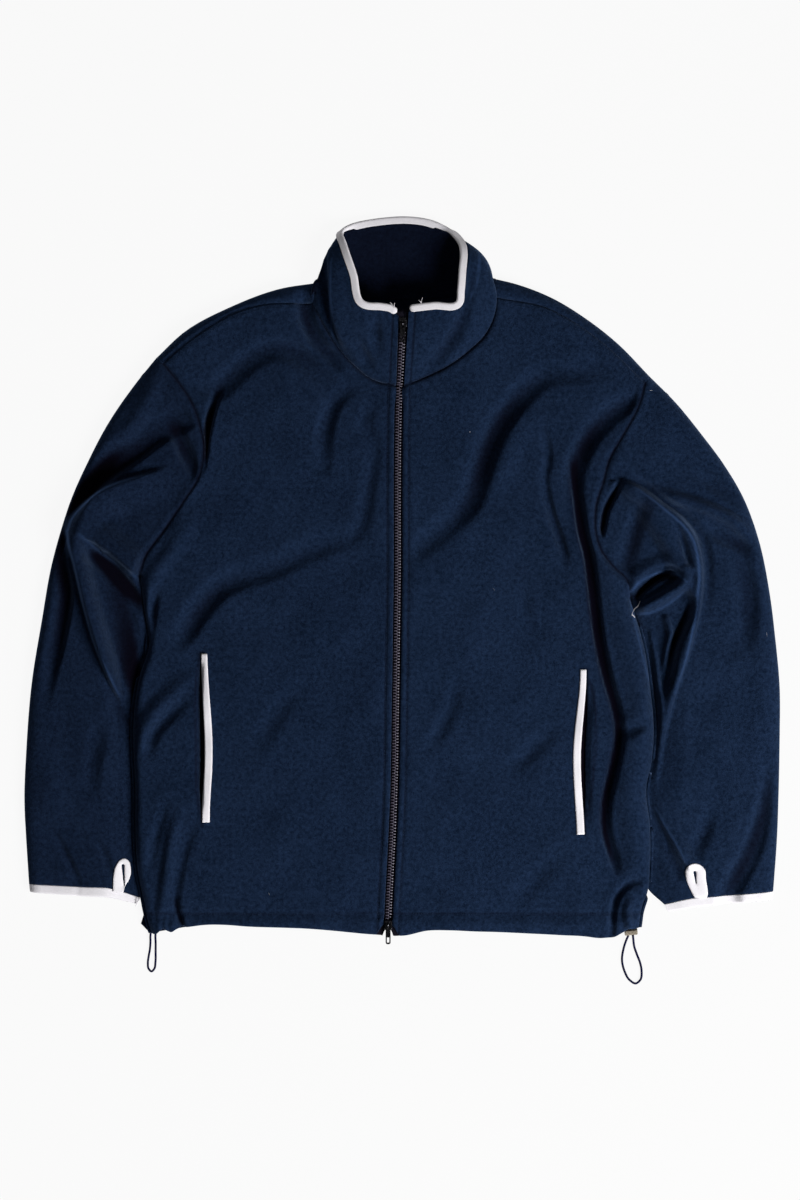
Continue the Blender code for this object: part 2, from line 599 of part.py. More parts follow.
def shoulder_wrap(side):
    """Rows of the back that turn over the shoulder, floor to seam, by shared column."""
    seam = FRONT[side][-1][list(SHARED_COLUMNS)]
    steps = np.linalg.norm(np.diff(seam[:, :2], axis=0), axis=1)
    shares = np.concatenate([[0], np.cumsum(steps)]) / steps.sum()
    fold = along(SHOULDER_FOLD[side], shares)
    inward = seam[:, :2] - fold
    depth = np.linalg.norm(inward, axis=1)[:, None]
    inward = inward / depth
    flat = lambda inset, z: np.column_stack([fold + inset * inward, np.full(len(fold), z)])
    rows = [flat(7.0, 0.0), flat(1.4, 0.7), flat(0.0, ROLLED_EDGE)]
    rows.append(lift("body", fold + 0.2 * depth * inward))
    rows.append(lift("body", fold + 0.5 * depth * inward))
    rows.append(lift("body", seam[:, :2] - SHOULDER_GAP * inward))
    return rows


WRAP = {side: shoulder_wrap(side) for side in SIDES}
NECK_CELLS = 6


def back_neck():
    start, end = WRAP["right"][0][-1][:2], WRAP["left"][0][-1][:2]
    line = np.array([start] + BACK_NECK[1:-1] + [end], float)
    points = along(line, np.linspace(0, 1, NECK_CELLS + 1))
    return np.column_stack([points, np.zeros(len(points))])


BACK_NECK_EDGE = back_neck()


def back_grid():
    """Grid of the back, and the cells above the neck that stay open."""
    pick = slice(0, None, 2)
    left = offset(EDGE["right"], INWARD["right"] * SEAM / 2)[pick]
    right = offset(EDGE["left"], INWARD["left"] * SEAM / 2)[pick]
    top = np.vstack([WRAP["right"][0][:, :2], BACK_NECK_EDGE[1:-1, :2],
                     WRAP["left"][0][::-1, :2]])
    top[0], top[-1] = left[-1], right[-1]
    hem = along([left[0]] + BACK_HEM[1:-1] + [right[0]], np.linspace(0, 1, len(top)))
    floor = coons(hem, top, left, right)
    floor = np.dstack([floor, np.zeros(floor.shape[:2])])
    shoulder = len(SHARED_COLUMNS)
    grid = list(floor)
    holes = set()
    for k in range(1, len(WRAP["right"])):
        row = np.zeros((len(top), 3))
        row[:shoulder] = WRAP["right"][k]
        row[-shoulder:] = WRAP["left"][k][::-1]
        row[shoulder:-shoulder] = floor[-1][shoulder:-shoulder] + (0, 0, 100 * k)
        grid.append(row)
        holes |= {(len(grid) - 2, j) for j in range(shoulder - 1, len(top) - shoulder)}
    return np.array(grid), holes


# ================================================================ collar
def collar_grid(stations):
    """Rows of the collar's outer face.

    Each station is a share of the way from the neck seam to a line that lies inset
    below the upper edge.
    """
    ends = {}
    for side in SIDES:
        arc = lift("body", along(NECK[side], np.linspace(0, 1, NECK_ROWS + 1)))
        column = np.array([row[-1] for row in WRAP[side]])[::-1]
        ends[side] = np.vstack([arc, column[1:]])
    base = np.vstack([ends["right"], BACK_NECK_EDGE[1:-1], ends["left"][::-1]])
    columns = [rim.column for rim in COLLAR_RIM]
    rim = hermite(columns, [rim[1:4] for rim in COLLAR_RIM], np.arange(len(base)))
    bulge = hermite(columns, [rim[4:7] for rim in COLLAR_RIM], np.arange(len(base)))
    reach = rim - base
    length = np.linalg.norm(reach, axis=1)[:, None]
    away = reach / length
    turn = len(WRAP["right"]) - 1
    away[NECK_ROWS:NECK_ROWS + turn] = (0.95, 0.3, 0)
    away[-NECK_ROWS - turn:-NECK_ROWS] = (-0.95, 0.3, 0)
    base = base + COLLAR_SEAM * away
    run = np.gradient(rim, axis=0)
    run /= np.linalg.norm(run, axis=1)[:, None]
    slant = np.linalg.norm(np.cross(run, reach / length), axis=1)[:, None]
    depth = length * np.maximum(slant, 0.5)
    rows = []
    for share, inset in stations:
        t = share * (1 - inset / depth)
        row = base + t * (rim - base) + 4 * t * (1 - t) * bulge
        shift = fold_shift("collar", row[:, :2]) * np.sin(np.pi * np.clip(t, 0, 1))
        rows.append(row + shift * (row[:, 2:] > 10))
    return np.array(rows)


def make_collar():
    """The collar and the binding round its edge, walls on one set of normals."""
    grid = collar_grid([(k / COLLAR_ROWS, BINDING + BINDING_GAP)
                        for k in range(COLLAR_ROWS + 1)]
                       + [(1, BINDING), (1, BINDING / 2), (1, 0)])
    facing = np.cross(np.gradient(grid, axis=0), np.gradient(grid, axis=1))
    for _ in range(SMOOTH_TURNS):
        facing /= np.linalg.norm(facing, axis=2)[:, :, None]
        facing[:, 1:-1] += (facing[:, :-2] + facing[:, 2:]) / 2
    facing /= np.linalg.norm(facing, axis=2)[:, :, None]
    cloth, band = slice(0, COLLAR_ROWS + 1), slice(COLLAR_ROWS + 1, None)
    wall_between("collar", grid[cloth], grid[cloth] - COLLAR_CLOTH * facing[cloth],
                 "fleece")
    proud = (BINDING_THICK - COLLAR_CLOTH) / 2
    wall_between("collar_binding", grid[band] + proud * facing[band],
                 grid[band] - (COLLAR_CLOTH + proud) * facing[band], "binding")
    return grid, facing


# ================================================================ fronts and pockets
def make_fronts():
    for side in SIDES:
        mouth = {(i, 6) for i in range(*POCKET_ROWS)}
        sheet("front_" + side, FRONT[side], FLEECE, "fleece", up=side == "right", holes=mouth)


def step(start, towards, distance):
    """Points a plan distance away from start on the way to another row of points."""
    run = towards - start
    return start + distance / np.linalg.norm(run[:, :2], axis=1)[:, None] * run


def make_pocket(side):
    """The binding on the mouth's front edge and the facing that shows inside it."""
    rows = FRONT[side][POCKET_ROWS[0]:POCKET_ROWS[1] + 1]
    near, edge, guide, beyond = (rows[:, j] for j in (5, 6, 7, 8))
    welt = np.stack([guide, step(guide, beyond, WELT_WIDE / 2),
                     step(guide, beyond, WELT_WIDE)], axis=1)
    sheet("pocket_welt_" + side, welt + (0, 0, REST + WELT_THICK), WELT_THICK, "binding",
          up=side == "right")
    facing = np.stack([step(edge, near, FACING_LAP), edge, guide,
                       step(guide, beyond, WELT_WIDE - 2)], axis=1)
    sheet("pocket_facing_" + side, facing - (0, 0, FLEECE + 2 * REST), FACING_THICK,
          "lining", up=side == "right")


# ================================================================ zip
def zip_rows(collar, facing):
    """Rows of the zip from hem to collar: each side's edge and a point further in."""
    rows = {"right": [], "left": []}
    sink = (0, 0, FLEECE + 2 * REST)
    for side in SIDES:
        for i in range(ZIP_ROWS + 1):
            edge, inner = FRONT[side][i, -1:], FRONT[side][i, -2:-1]
            rows[side].append((edge[0] - sink, step(edge, inner, TAPE_WIDE)[0] - sink))
        first, second = (0, 1) if side == "right" else (-1, -2)
        for i in range(len(collar) - 1):
            depth = COLLAR_CLOTH + REST * (4 if i == 0 else 3 if i < COLLAR_ROWS else 5)
            edge, inner = (collar[i, j] - depth * facing[i, j] for j in (first, second))
            rows[side].append((edge, edge + 0.8 * (inner - edge)))
    return {side: np.array(rows[side]) for side in SIDES}


def make_zip(collar, facing):
    rows = zip_rows(collar, facing)
    middle = (rows["right"][:, 0] + rows["left"][:, 0]) / 2
    middle[:, 2] = np.minimum(rows["right"][:, 0, 2], rows["left"][:, 0, 2])
    for side, sign in (("right", -1), ("left", 1)):
        edge, inner = rows[side][:, 0].copy(), rows[side][:, 1].copy()
        edge[:, 2] = middle[:, 2]
        tape = np.stack([middle + (sign * TAPE_SPLIT / 2, 0, 0), edge, inner], axis=1)
        sheet("zip_tape_" + side, tape, TAPE_THICK, "zip_tape", up=side == "left")
    heights = middle[:, 1]
    low, high = CHAIN_SPAN
    levels = np.array([low] + [y for y in heights if low + 2 < y < high - 2] + [high])
    line = np.column_stack([np.interp(levels, heights, middle[:, k]) for k in range(3)])
    line[:, 2] += REST + CHAIN_THICK
    chain = np.stack([line - (CHAIN_WIDE / 2, 0, 0), line + (CHAIN_WIDE / 2, 0, 0)], axis=1)
    sheet("zip_chain", chain, CHAIN_THICK, "zip_teeth")
    return middle


def slab(name, outline, thickness, finish, opening=()):
    """A flat plate from an outline in plan, with rectangular openings cut out."""
    data = bpy.data.meshes.new(name)
    mesh = bmesh.new()
    face = mesh.faces.new([mesh.verts.new((x * MM, y * MM, -thickness / 2 * MM))
                           for x, y in outline])
    grown = bmesh.ops.extrude_face_region(mesh, geom=[face])
    moved = [item for item in grown["geom"] if isinstance(item, bmesh.types.BMVert)]
    bmesh.ops.translate(mesh, verts=moved, vec=(0, 0, thickness * MM))
    bmesh.ops.recalc_face_normals(mesh, faces=mesh.faces)
    mesh.to_mesh(data)
    mesh.free()
    piece = bpy.data.objects.new(name, data)
    parts.objects.link(piece)
    for number, (x0, x1, y0, y1) in enumerate(opening):
        cutter = block("%s_cut_%d" % (name, number), (x0, y0, -9), (x1, y1, 9), cutters)
        cutter.hide_render = True
        cut = piece.modifiers.new("opening", "BOOLEAN")
        cut.operation = "DIFFERENCE"
        cut.solver = "EXACT"
        cut.object = cutter
    return finish_object(piece, finish)


def block(name, low, high, collection):
    corners = [(x * MM, y * MM, z * MM) for x in (low[0], high[0])
               for y in (low[1], high[1]) for z in (low[2], high[2])]
    faces = [(0, 1, 3, 2), (4, 6, 7, 5), (0, 4, 5, 1), (2, 3, 7, 6), (0, 2, 6, 4), (1, 5, 7, 3)]
    data = bpy.data.meshes.new(name)
    data.from_pydata(corners, [], faces)
    piece = bpy.data.objects.new(name, data)
    collection.objects.link(piece)
    return piece


def rounded(width, start, end, corner):
    """Outline of a plate along -Y whose free end has rounded corners."""
    half = width / 2
    outline = [(-half, start), (half, start)]
    for k in range(5):
        turn = math.pi / 2 * k / 4
        outline.append((half - corner + corner * math.cos(turn),
                        end + corner - corner * math.sin(turn)))
    for k in range(5):
        turn = math.pi / 2 * (1 - k / 4)
        outline.append((-half + corner - corner * math.cos(turn),
                        end + corner - corner * math.sin(turn)))
    return outline[::-1]


def make_slider(where, middle):
    """A slider on the zip and the tab that swings on its bridge."""
    y, droop = SLIDERS[where]
    reach = np.linspace(-6, 6, 13)
    under = np.array([[np.interp(y + k, middle[:, 1], middle[:, i]) for i in range(3)]
                      for k in reach])
    slope = math.atan2(under[-1, 2] - under[0, 2], 12)
    bow = (under[:, 2] - np.linspace(under[0, 2], under[-1, 2], 13)).max()
    seat = (under[0] + under[-1]) / 2 + (0, 0, bow + 2 * REST)
    stand = (Matrix.Translation(Vector(seat * MM)) @ Matrix.Rotation(slope, 4, "X"))
    half = SLIDER_WIDE / 2
    top = max(z for _, z in SLIDER_PROFILE)
    mesh = bmesh.new()
    ring = [mesh.verts.new((-half * MM, v * MM, w * MM)) for v, w in SLIDER_PROFILE]
    face = mesh.faces.new(ring)
    grown = bmesh.ops.extrude_face_region(mesh, geom=[face])
    moved = [item for item in grown["geom"] if isinstance(item, bmesh.types.BMVert)]
    bmesh.ops.translate(mesh, verts=moved, vec=(2 * half * MM, 0, 0))
    bmesh.ops.recalc_face_normals(mesh, faces=mesh.faces)
    data = bpy.data.meshes.new("slider_" + where)
    mesh.to_mesh(data)
    mesh.free()
    slider = bpy.data.objects.new("slider_" + where, data)
    parts.objects.link(slider)
    finish_object(slider, "zip_metal")
    edge = slider.modifiers.new("edges", "BEVEL")
    edge.width = 0.5 * MM
    edge.segments = 2
    arc = [(0, BRIDGE_REACH * math.cos(math.pi * k / 12),
            top + BRIDGE_RISE * math.sin(math.pi * k / 12)) for k in range(13)]
    arc = [(0, BRIDGE_REACH, top - 0.8)] + arc + [(0, -BRIDGE_REACH, top - 0.8)]
    bridge = rod("bridge_" + where, arc, BRIDGE_THICK / 2)
    join = slider.modifiers.new("bridge", "BOOLEAN")
    join.operation = "UNION"
    join.solver = "EXACT"
    join.object = bridge
    bridge.hide_render = True
    slider.matrix_world = stand
    bridge.matrix_world = stand
    tab = slab("pull_tab_" + where, rounded(TAB_WIDE, 0.6, 0.6 - TAB_LONG, 2.2), TAB_THICK,
               "zip_metal", opening=[(-w, w, -b, -a) for a, b, w in (TAB_WINDOW, TAB_HOLE)])
    pin = stand @ Vector((0, -HINGE_BACK * MM, (top + HINGE_RISE) * MM))
    tab.matrix_world = Matrix.Translation(pin) @ Matrix.Rotation(slope + math.radians(droop), 4, "X")
    for cutter in cutters.objects:
        if cutter.name.startswith(tab.name):
            cutter.matrix_world = tab.matrix_world
    return pin


def rod(name, points, radius):
    """A round bar along points of one upright plane, as a cutter."""
    line = np.array(points, float)
    run = np.gradient(line, axis=0)
    run /= np.linalg.norm(run, axis=1)[:, None]
    side = np.array([1.0, 0, 0])
    corners = []
    for point, ahead in zip(line, run):
        over = np.cross(side, ahead)
        for k in range(8):
            turn = 2 * math.pi * k / 8
            corners.append((point + radius * (math.cos(turn) * side + math.sin(turn) * over)) * MM)
    faces = [[i * 8 + k, i * 8 + (k + 1) % 8, (i + 1) * 8 + (k + 1) % 8, (i + 1) * 8 + k]
             for i in range(len(line) - 1) for k in range(8)]
    faces += [list(range(8))[::-1], [(len(line) - 1) * 8 + k for k in range(8)]]
    data = bpy.data.meshes.new(name)
    data.from_pydata([tuple(c) for c in corners], [], faces)
    mesh = bmesh.new()
    mesh.from_mesh(data)
    bmesh.ops.recalc_face_normals(mesh, faces=mesh.faces)
    mesh.to_mesh(data)
    mesh.free()
    piece = bpy.data.objects.new(name, data)
    cutters.objects.link(piece)
    return piece


# ================================================================ cuffs
def make_cuff(side, upper):
    """A binding round both layers of a sleeve's end."""
    last = upper[-1]
    width = np.linalg.norm(last[-1, :2] - last[0, :2])
    shares = np.array(upper_places(width))
    low = along(CUFF_BINDING_EDGE[side], shares)
    start = 1.2 / 8
    above = []
    for t in (start, 0.55, 1.0):
        ring = np.column_stack([last[:, :2] + t * (low - last[:, :2]), last[:, 2] + 0.3])
        ring[[0, -1], 2] = 4.2
        above.append(ring)
    below = []
    for ring in above:
        count = 5
        run = ring[0, :2] - ring[-1, :2]
        reach = np.linalg.norm(run)
        insets = np.concatenate([[1.6, 5.5], np.linspace(5.5, reach - 5.5, count + 2)[1:-1],
                                 [reach - 5.5, reach - 1.6]])
        spot = np.array([np.interp(insets, np.linspace(0, reach, len(ring)),
                                   ring[::-1, k]) for k in (0, 1)]).T
        spot = ring[-1, :2] + insets[:, None] / reach * run
        bow = ring[::-1]
        travelled = np.linalg.norm(bow[:, :2] - bow[0, :2], axis=1)
        spot[:, 1] = np.interp(insets, travelled, bow[:, 1])
        heights = np.zeros(len(insets))
        heights[[0, -1]] = 0.9
        below.append(np.column_stack([spot, heights]))
    grid = np.array([np.vstack([a, b]) for a, b in zip(above, below)])
    sheet("cuff_binding_" + side, grid, CUFF_BINDING_THICK, "binding", up=side == "left",
          closed=True)


def make_thumb_loop(side):
    """A flat loop round a slit, lying on the sleeve just above the cuff binding."""
    outline, (low, high) = THUMB_LOOP[side]
    outline = np.array(outline, float)
    closed = np.vstack([outline, outline[:1]])
    edge = along(closed, np.linspace(0, 1, 21)[:-1])
    centre = np.array([low, high], float)
    rows = []
    for share in (0.0, 0.5, 1.0):
        ring = []
        for point in edge:
            run = centre[1] - centre[0]
            t = np.clip(np.dot(point - centre[0], run) / np.dot(run, run), 0, 1)
            near = centre[0] + t * run
            away = (point - near) / np.linalg.norm(point - near)
            inner = near + LOOP_SLIT * away
            ring.append(inner + share * (point - inner))
        rows.append(ring)
    plan = np.array(rows)
    hit = drape("sleeve_" + side + "_upper", plan.reshape(-1, 2)).reshape(plan.shape[:2])
    grid = np.dstack([plan, hit + 2 * REST + LOOP_THICK])
    sheet("thumb_loop_" + side, grid, LOOP_THICK, "binding", closed=True)


def drape(name, points):
    """Heights of a finished piece under points in plan."""
    graph = bpy.context.evaluated_depsgraph_get()
    piece = parts.objects[name].evaluated_get(graph)
    heights = []
    for x, y in points:
        found, spot, _, _ = piece.ray_cast(Vector((x * MM, y * MM, 1.0)), Vector((0, 0, -1)))
        heights.append(spot.z / MM if found else 0.0)
    return np.array(heights)


# ================================================================ drawcord
def make_cord(side):
    """The barrel lock and the loop of cord that hangs from it."""
    start, end, radius = CORD_LOCKS[side]
    start, end = np.array(start, float), np.array(end, float)
    line = np.array([start + t * (end - start) for t in (0, 0.06, 0.3, 0.7, 0.94, 1)])
    radii = radius * np.array([0.8, 1.0, 1.0, 1.0, 1.0, 0.8])
    run = (end - start) / np.linalg.norm(end - start)
    over = np.array([0, 0, 1.0])
    across = np.cross(over, run)
    corners = [(point + r * (math.cos(a) * across + math.sin(a) * over)) * MM
               for point, r in zip(line, radii)
               for a in (2 * math.pi * (k + 0.5) / 12 for k in range(12))]
    faces = [[i * 12 + k, i * 12 + (k + 1) % 12, (i + 1) * 12 + (k + 1) % 12, (i + 1) * 12 + k]
             for i in range(len(line) - 1) for k in range(12)]
    faces += [list(range(12))[::-1], [(len(line) - 1) * 12 + k for k in range(12)]]
    data = bpy.data.meshes.new("cord_lock_" + side)
    data.from_pydata([tuple(c) for c in corners], [], faces)
    mesh = bmesh.new()
    mesh.from_mesh(data)
    bmesh.ops.recalc_face_normals(mesh, faces=mesh.faces)
    mesh.to_mesh(data)
    mesh.free()
    piece = bpy.data.objects.new("cord_lock_" + side, data)
    parts.objects.link(piece)
    finish_object(piece, "cord_lock")
    loop = along(CORD_PATHS[side], np.linspace(0, 1, 28))
    loop[:, 2] = np.maximum(loop[:, 2], CORD / 2)
    tube("cord_loop_" + side, loop, CORD, "drawcord")


# ================================================================ everything together
for thing in list(bpy.data.objects):
    bpy.data.objects.remove(thing)
parts = bpy.data.collections.new("fleece_zip_jacket")
cutters = bpy.data.collections.new("cutters")
bpy.context.scene.collection.children.link(parts)
bpy.context.scene.collection.children.link(cutters)

make_fronts()
BACK, OPEN_CELLS = back_grid()
sheet("back", BACK, FLEECE, "fleece", up=False, holes=OPEN_CELLS)
COLLAR, COLLAR_FACING = make_collar()
UPPER = {}
for side_name in SIDES:
    UPPER[side_name] = lift_grid("sleeve", sleeve_grid(side_name, 1, upper_places))
    sheet("sleeve_" + side_name + "_upper", UPPER[side_name], FLEECE, "fleece",
          up=side_name == "left")
    under = sleeve_grid(side_name, 2, under_places)
    under = np.dstack([under, np.zeros(under.shape[:2])])
    sheet("sleeve_" + side_name + "_under", under, FLEECE, "fleece", up=side_name == "right")
    make_pocket(side_name)
    make_cuff(side_name, UPPER[side_name])
    make_thumb_loop(side_name)
    make_cord(side_name)
ZIP_MIDDLE = make_zip(COLLAR, COLLAR_FACING)
PINS = {where: make_slider(where, ZIP_MIDDLE) for where in SLIDERS}
for where, pin in PINS.items():
    print(where, "hinge at", [round(value, 5) for value in pin])
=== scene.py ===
import math

import bmesh
import bpy
import numpy as np
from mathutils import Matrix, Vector
from mathutils.kdtree import KDTree


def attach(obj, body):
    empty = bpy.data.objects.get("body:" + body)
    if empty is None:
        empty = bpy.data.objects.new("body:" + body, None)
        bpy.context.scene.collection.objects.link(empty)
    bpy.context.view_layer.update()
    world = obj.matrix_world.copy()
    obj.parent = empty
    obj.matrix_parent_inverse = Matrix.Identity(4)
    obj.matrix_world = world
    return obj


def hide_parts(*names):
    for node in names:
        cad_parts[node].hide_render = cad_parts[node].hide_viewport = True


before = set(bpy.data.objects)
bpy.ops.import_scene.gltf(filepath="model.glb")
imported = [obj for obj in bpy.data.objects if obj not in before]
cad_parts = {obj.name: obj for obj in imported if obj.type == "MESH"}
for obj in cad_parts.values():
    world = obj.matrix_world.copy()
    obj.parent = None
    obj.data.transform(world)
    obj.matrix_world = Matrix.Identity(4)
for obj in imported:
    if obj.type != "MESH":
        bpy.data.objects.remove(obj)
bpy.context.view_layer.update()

# A fleece zip jacket laid flat on its back. The pattern below is in millimetres:
# x to the wearer's left, y from hem to collar, z up from the floor.
mm = 0.001
sides = ("right", "left")
outwards = {"right": -1, "left": 1}     # which way each side lies along x
bpy.ops.object.select_all(action="DESELECT")

# camera straight above, as far off as a studio camera would hang
shot = {"height": 5.0, "x": -0.0027, "y": -0.022, "longSide": 1.296, "focus": 0.012}


def makeCamera():
    lens = bpy.data.cameras.new("camera")
    lens.lens = lens.sensor_width * (shot["height"] - shot["focus"]) / shot["longSide"]
    camera = bpy.data.objects.new("camera", lens)
    camera.location = (shot["x"], shot["y"], shot["height"])
    bpy.context.scene.collection.objects.link(camera)
    bpy.context.scene.camera = camera


makeCamera()

# the pattern's edges, in plan
zipLine = [(-16, -386), (-15, -359), (-12, -303), (-9, -238), (-7, -130), (-5, 21),
            (-5, 108), (-3, 216), (1, 280), (1, 297)]
sleeveFold = {          # outer fold of a sleeve, shoulder point to cuff
    "right": [(-267, 239), (-291, 209), (-319, 168), (-341, 126), (-358, 88), (-369, 55),
              (-380, 14), (-390, -43), (-401, -111), (-407, -185), (-409, -240),
              (-407, -282), (-404, -329)],
    "left": [(268, 219), (295, 192), (322, 159), (350, 121), (369, 88), (383, 51),
             (398, -20), (403, -61), (408, -116), (408, -172), (407, -227), (405, -282),
             (401, -337)],
}
shoulderFold = {       # where the back turns over to the front, shoulder point to neck
    "right": [(-267, 239), (-236, 268), (-186, 295), (-131, 315), (-93, 321)],
    "left": [(268, 219), (232, 256), (196, 284), (163, 304), (122, 320), (97, 326)],
}
shoulderSeam = {       # armhole end to neck end
    "right": [(-259, 234), (-241, 250), (-214, 270), (-181, 289), (-154, 297), (-98, 299)],
    "left": [(262, 213), (226, 248), (191, 275), (156, 294), (101, 305)],
}
armhole = {             # underarm to shoulder seam
    "right": [(-284, 3), (-278, 24), (-259, 51), (-236, 85), (-219, 113), (-215, 145),
              (-219, 168), (-228, 192), (-245, 217), (-259, 234)],
    "left": [(246, -20), (242, 0), (226, 16), (214, 33), (208, 58), (209, 79), (217, 106),
             (223, 129), (237, 154), (256, 190), (262, 213)],
}
sideSeam = {                # hem to underarm
    "right": [(-272, -382), (-277, -364), (-280, -348), (-286, -318), (-289, -268),
              (-289, -227), (-291, -185), (-291, -151), (-284, -103), (-275, -75),
              (-280, -29), (-284, 3)],
    "left": [(256, -376), (259, -356), (266, -334), (268, -309), (268, -268), (264, -227),
             (270, -194), (272, -158), (268, -116), (262, -75), (246, -20)],
}
hemEdge = {                 # side to zip
    "right": [(-272, -382), (-236, -376), (-214, -373), (-159, -375), (-104, -377),
              (-35, -383), (-20.6, -384)],
    "left": [(256, -376), (240, -380), (226, -386), (191, -385), (152, -383), (79, -380),
             (21, -380), (-2, -385), (-11.4, -385)],
}
neckSeam = {                # zip to shoulder seam
    "right": [(-7.4, 209), (-33, 216), (-50, 229), (-68, 248), (-80, 266), (-91, 286),
              (-98, 299)],
    "left": [(1.8, 209), (21, 217), (50, 231), (74, 249), (89, 264), (99, 285), (101, 305)],
}
pocketLine = {         # row of the front's grid: place of the pocket mouth's front edge
    "right": {0: (-212, -373), 2: (-211, -361), 6: (-216, -262), 10: (-213, -185),
              14: (-217, -80), 18: (-214, 3), 27: (-160, 150), 36: (-181, 289)},
    "left": {0: (198, -385), 2: (198, -366), 6: (196, -275), 10: (192, -190),
             14: (198, -97), 18: (188, -15), 27: (150, 130), 36: (191, 275)},
}

cloth = {"fleece": 2.5, "sleeve": 2.2, "collar": 3.0}        # thickness
seam = {"gap": -0.7, "corner": 1.2, "groove": 1.4, "depth": 1.5, "puff": 0.5,
        "puffAway": 6.0, "puffWide": 3.5}
lie = {"bodyRise": 16.0, "cuffRise": 13.0, "hemRise": 13.0,  # outer face over the floor
       "hemFrom": -380.0, "hemSpan": 90.0, "cuffFrom": -330.0, "cuffSpan": 300.0,
       "rolledEdge": 3.7, "lowestTop": 6.2, "edgeReach": 14.0, "sideReach": 9.0,
       "tuckReach": 38.0, "tuckSpan": 90.0, "tipReach": 20.0,
       "cuffLeaves": (265.5, -334.0)}
edgeInsets = [0, 1.5, 5, 11]            # the grids' first columns, in from a cloth's edge
underRoll = ((0.25, 2.0), (1.2, 0.7), (3.4, 0.05))     # inset and height where it rolls under
turnedEdge = {"depth": 1.3, "reach": 2.2}
stitchLine = {"depth": 0.9, "wide": 1.5, "collarWide": 1.3, "puff": 0.7, "puffWide": 2.6}
calm = {"fold": 22.0, "side": 12.0, "armhole": 9.0, "zipFrom": 5.0, "zip": 16.0}  # no creases
casing = {"y": -361.0, "bead": 1.5, "beadAway": 11.0, "beadWide": 6.0,      # the drawcord's
          "groove": 1.2, "grooveWide": 4.0}
zipParts = {"gap": 9.2, "tape": 11.0, "tapeThick": 0.9, "stitch": 7.0, "pitch": 3.2,
            "chain": (-366.5, 267.5), "splay": 5.5, "splayFrom": -371.0, "splaySpan": 14.0,
            "tapeDown": 0.6, "tapeInset": 0.15, "toothOff": 1.15, "toothUp": 0.2}
pocket = {"mouth": 5.4, "weltThick": 1.9, "lap": 8.0, "liningThick": 1.4, "liningDown": 0.7,
          "liningShade": 0.85, "narrowFrom": 0.55, "narrow": 0.2, "weltRound": 1.3,
          "weltSunk": 2.6, "weltUnder": 0.4,
          "weltPlaces": (-0.5, -0.35, 0.1, 0.8, 2, 3.5, 5, 6.4, 7.4, 7.85, 8.0),
          "seams": {"right": [(-216, -266), (-221, -240), (-223.5, -180), (-223, -110),
                              (-219, -80)],
                    "left": [(198, -98), (206, -125), (208, -185), (203, -235), (197.5, -265)]}}
# darkest and shadeFrom set the painted shade in deep creases
crease = {                              # ripples: size, height, direction, start
          "tallest": 22.0, "darkest": 0.97, "shadeFrom": (3.0, 17.0),
          "ripples": [(118, 0.85, 0.5, 0.3), (83, 0.62, 2.1, 1.9), (57, 0.42, 1.2, 4.0),
                      (41, 0.27, 2.8, 2.6), (29, 0.14, 0.1, 5.2)]}

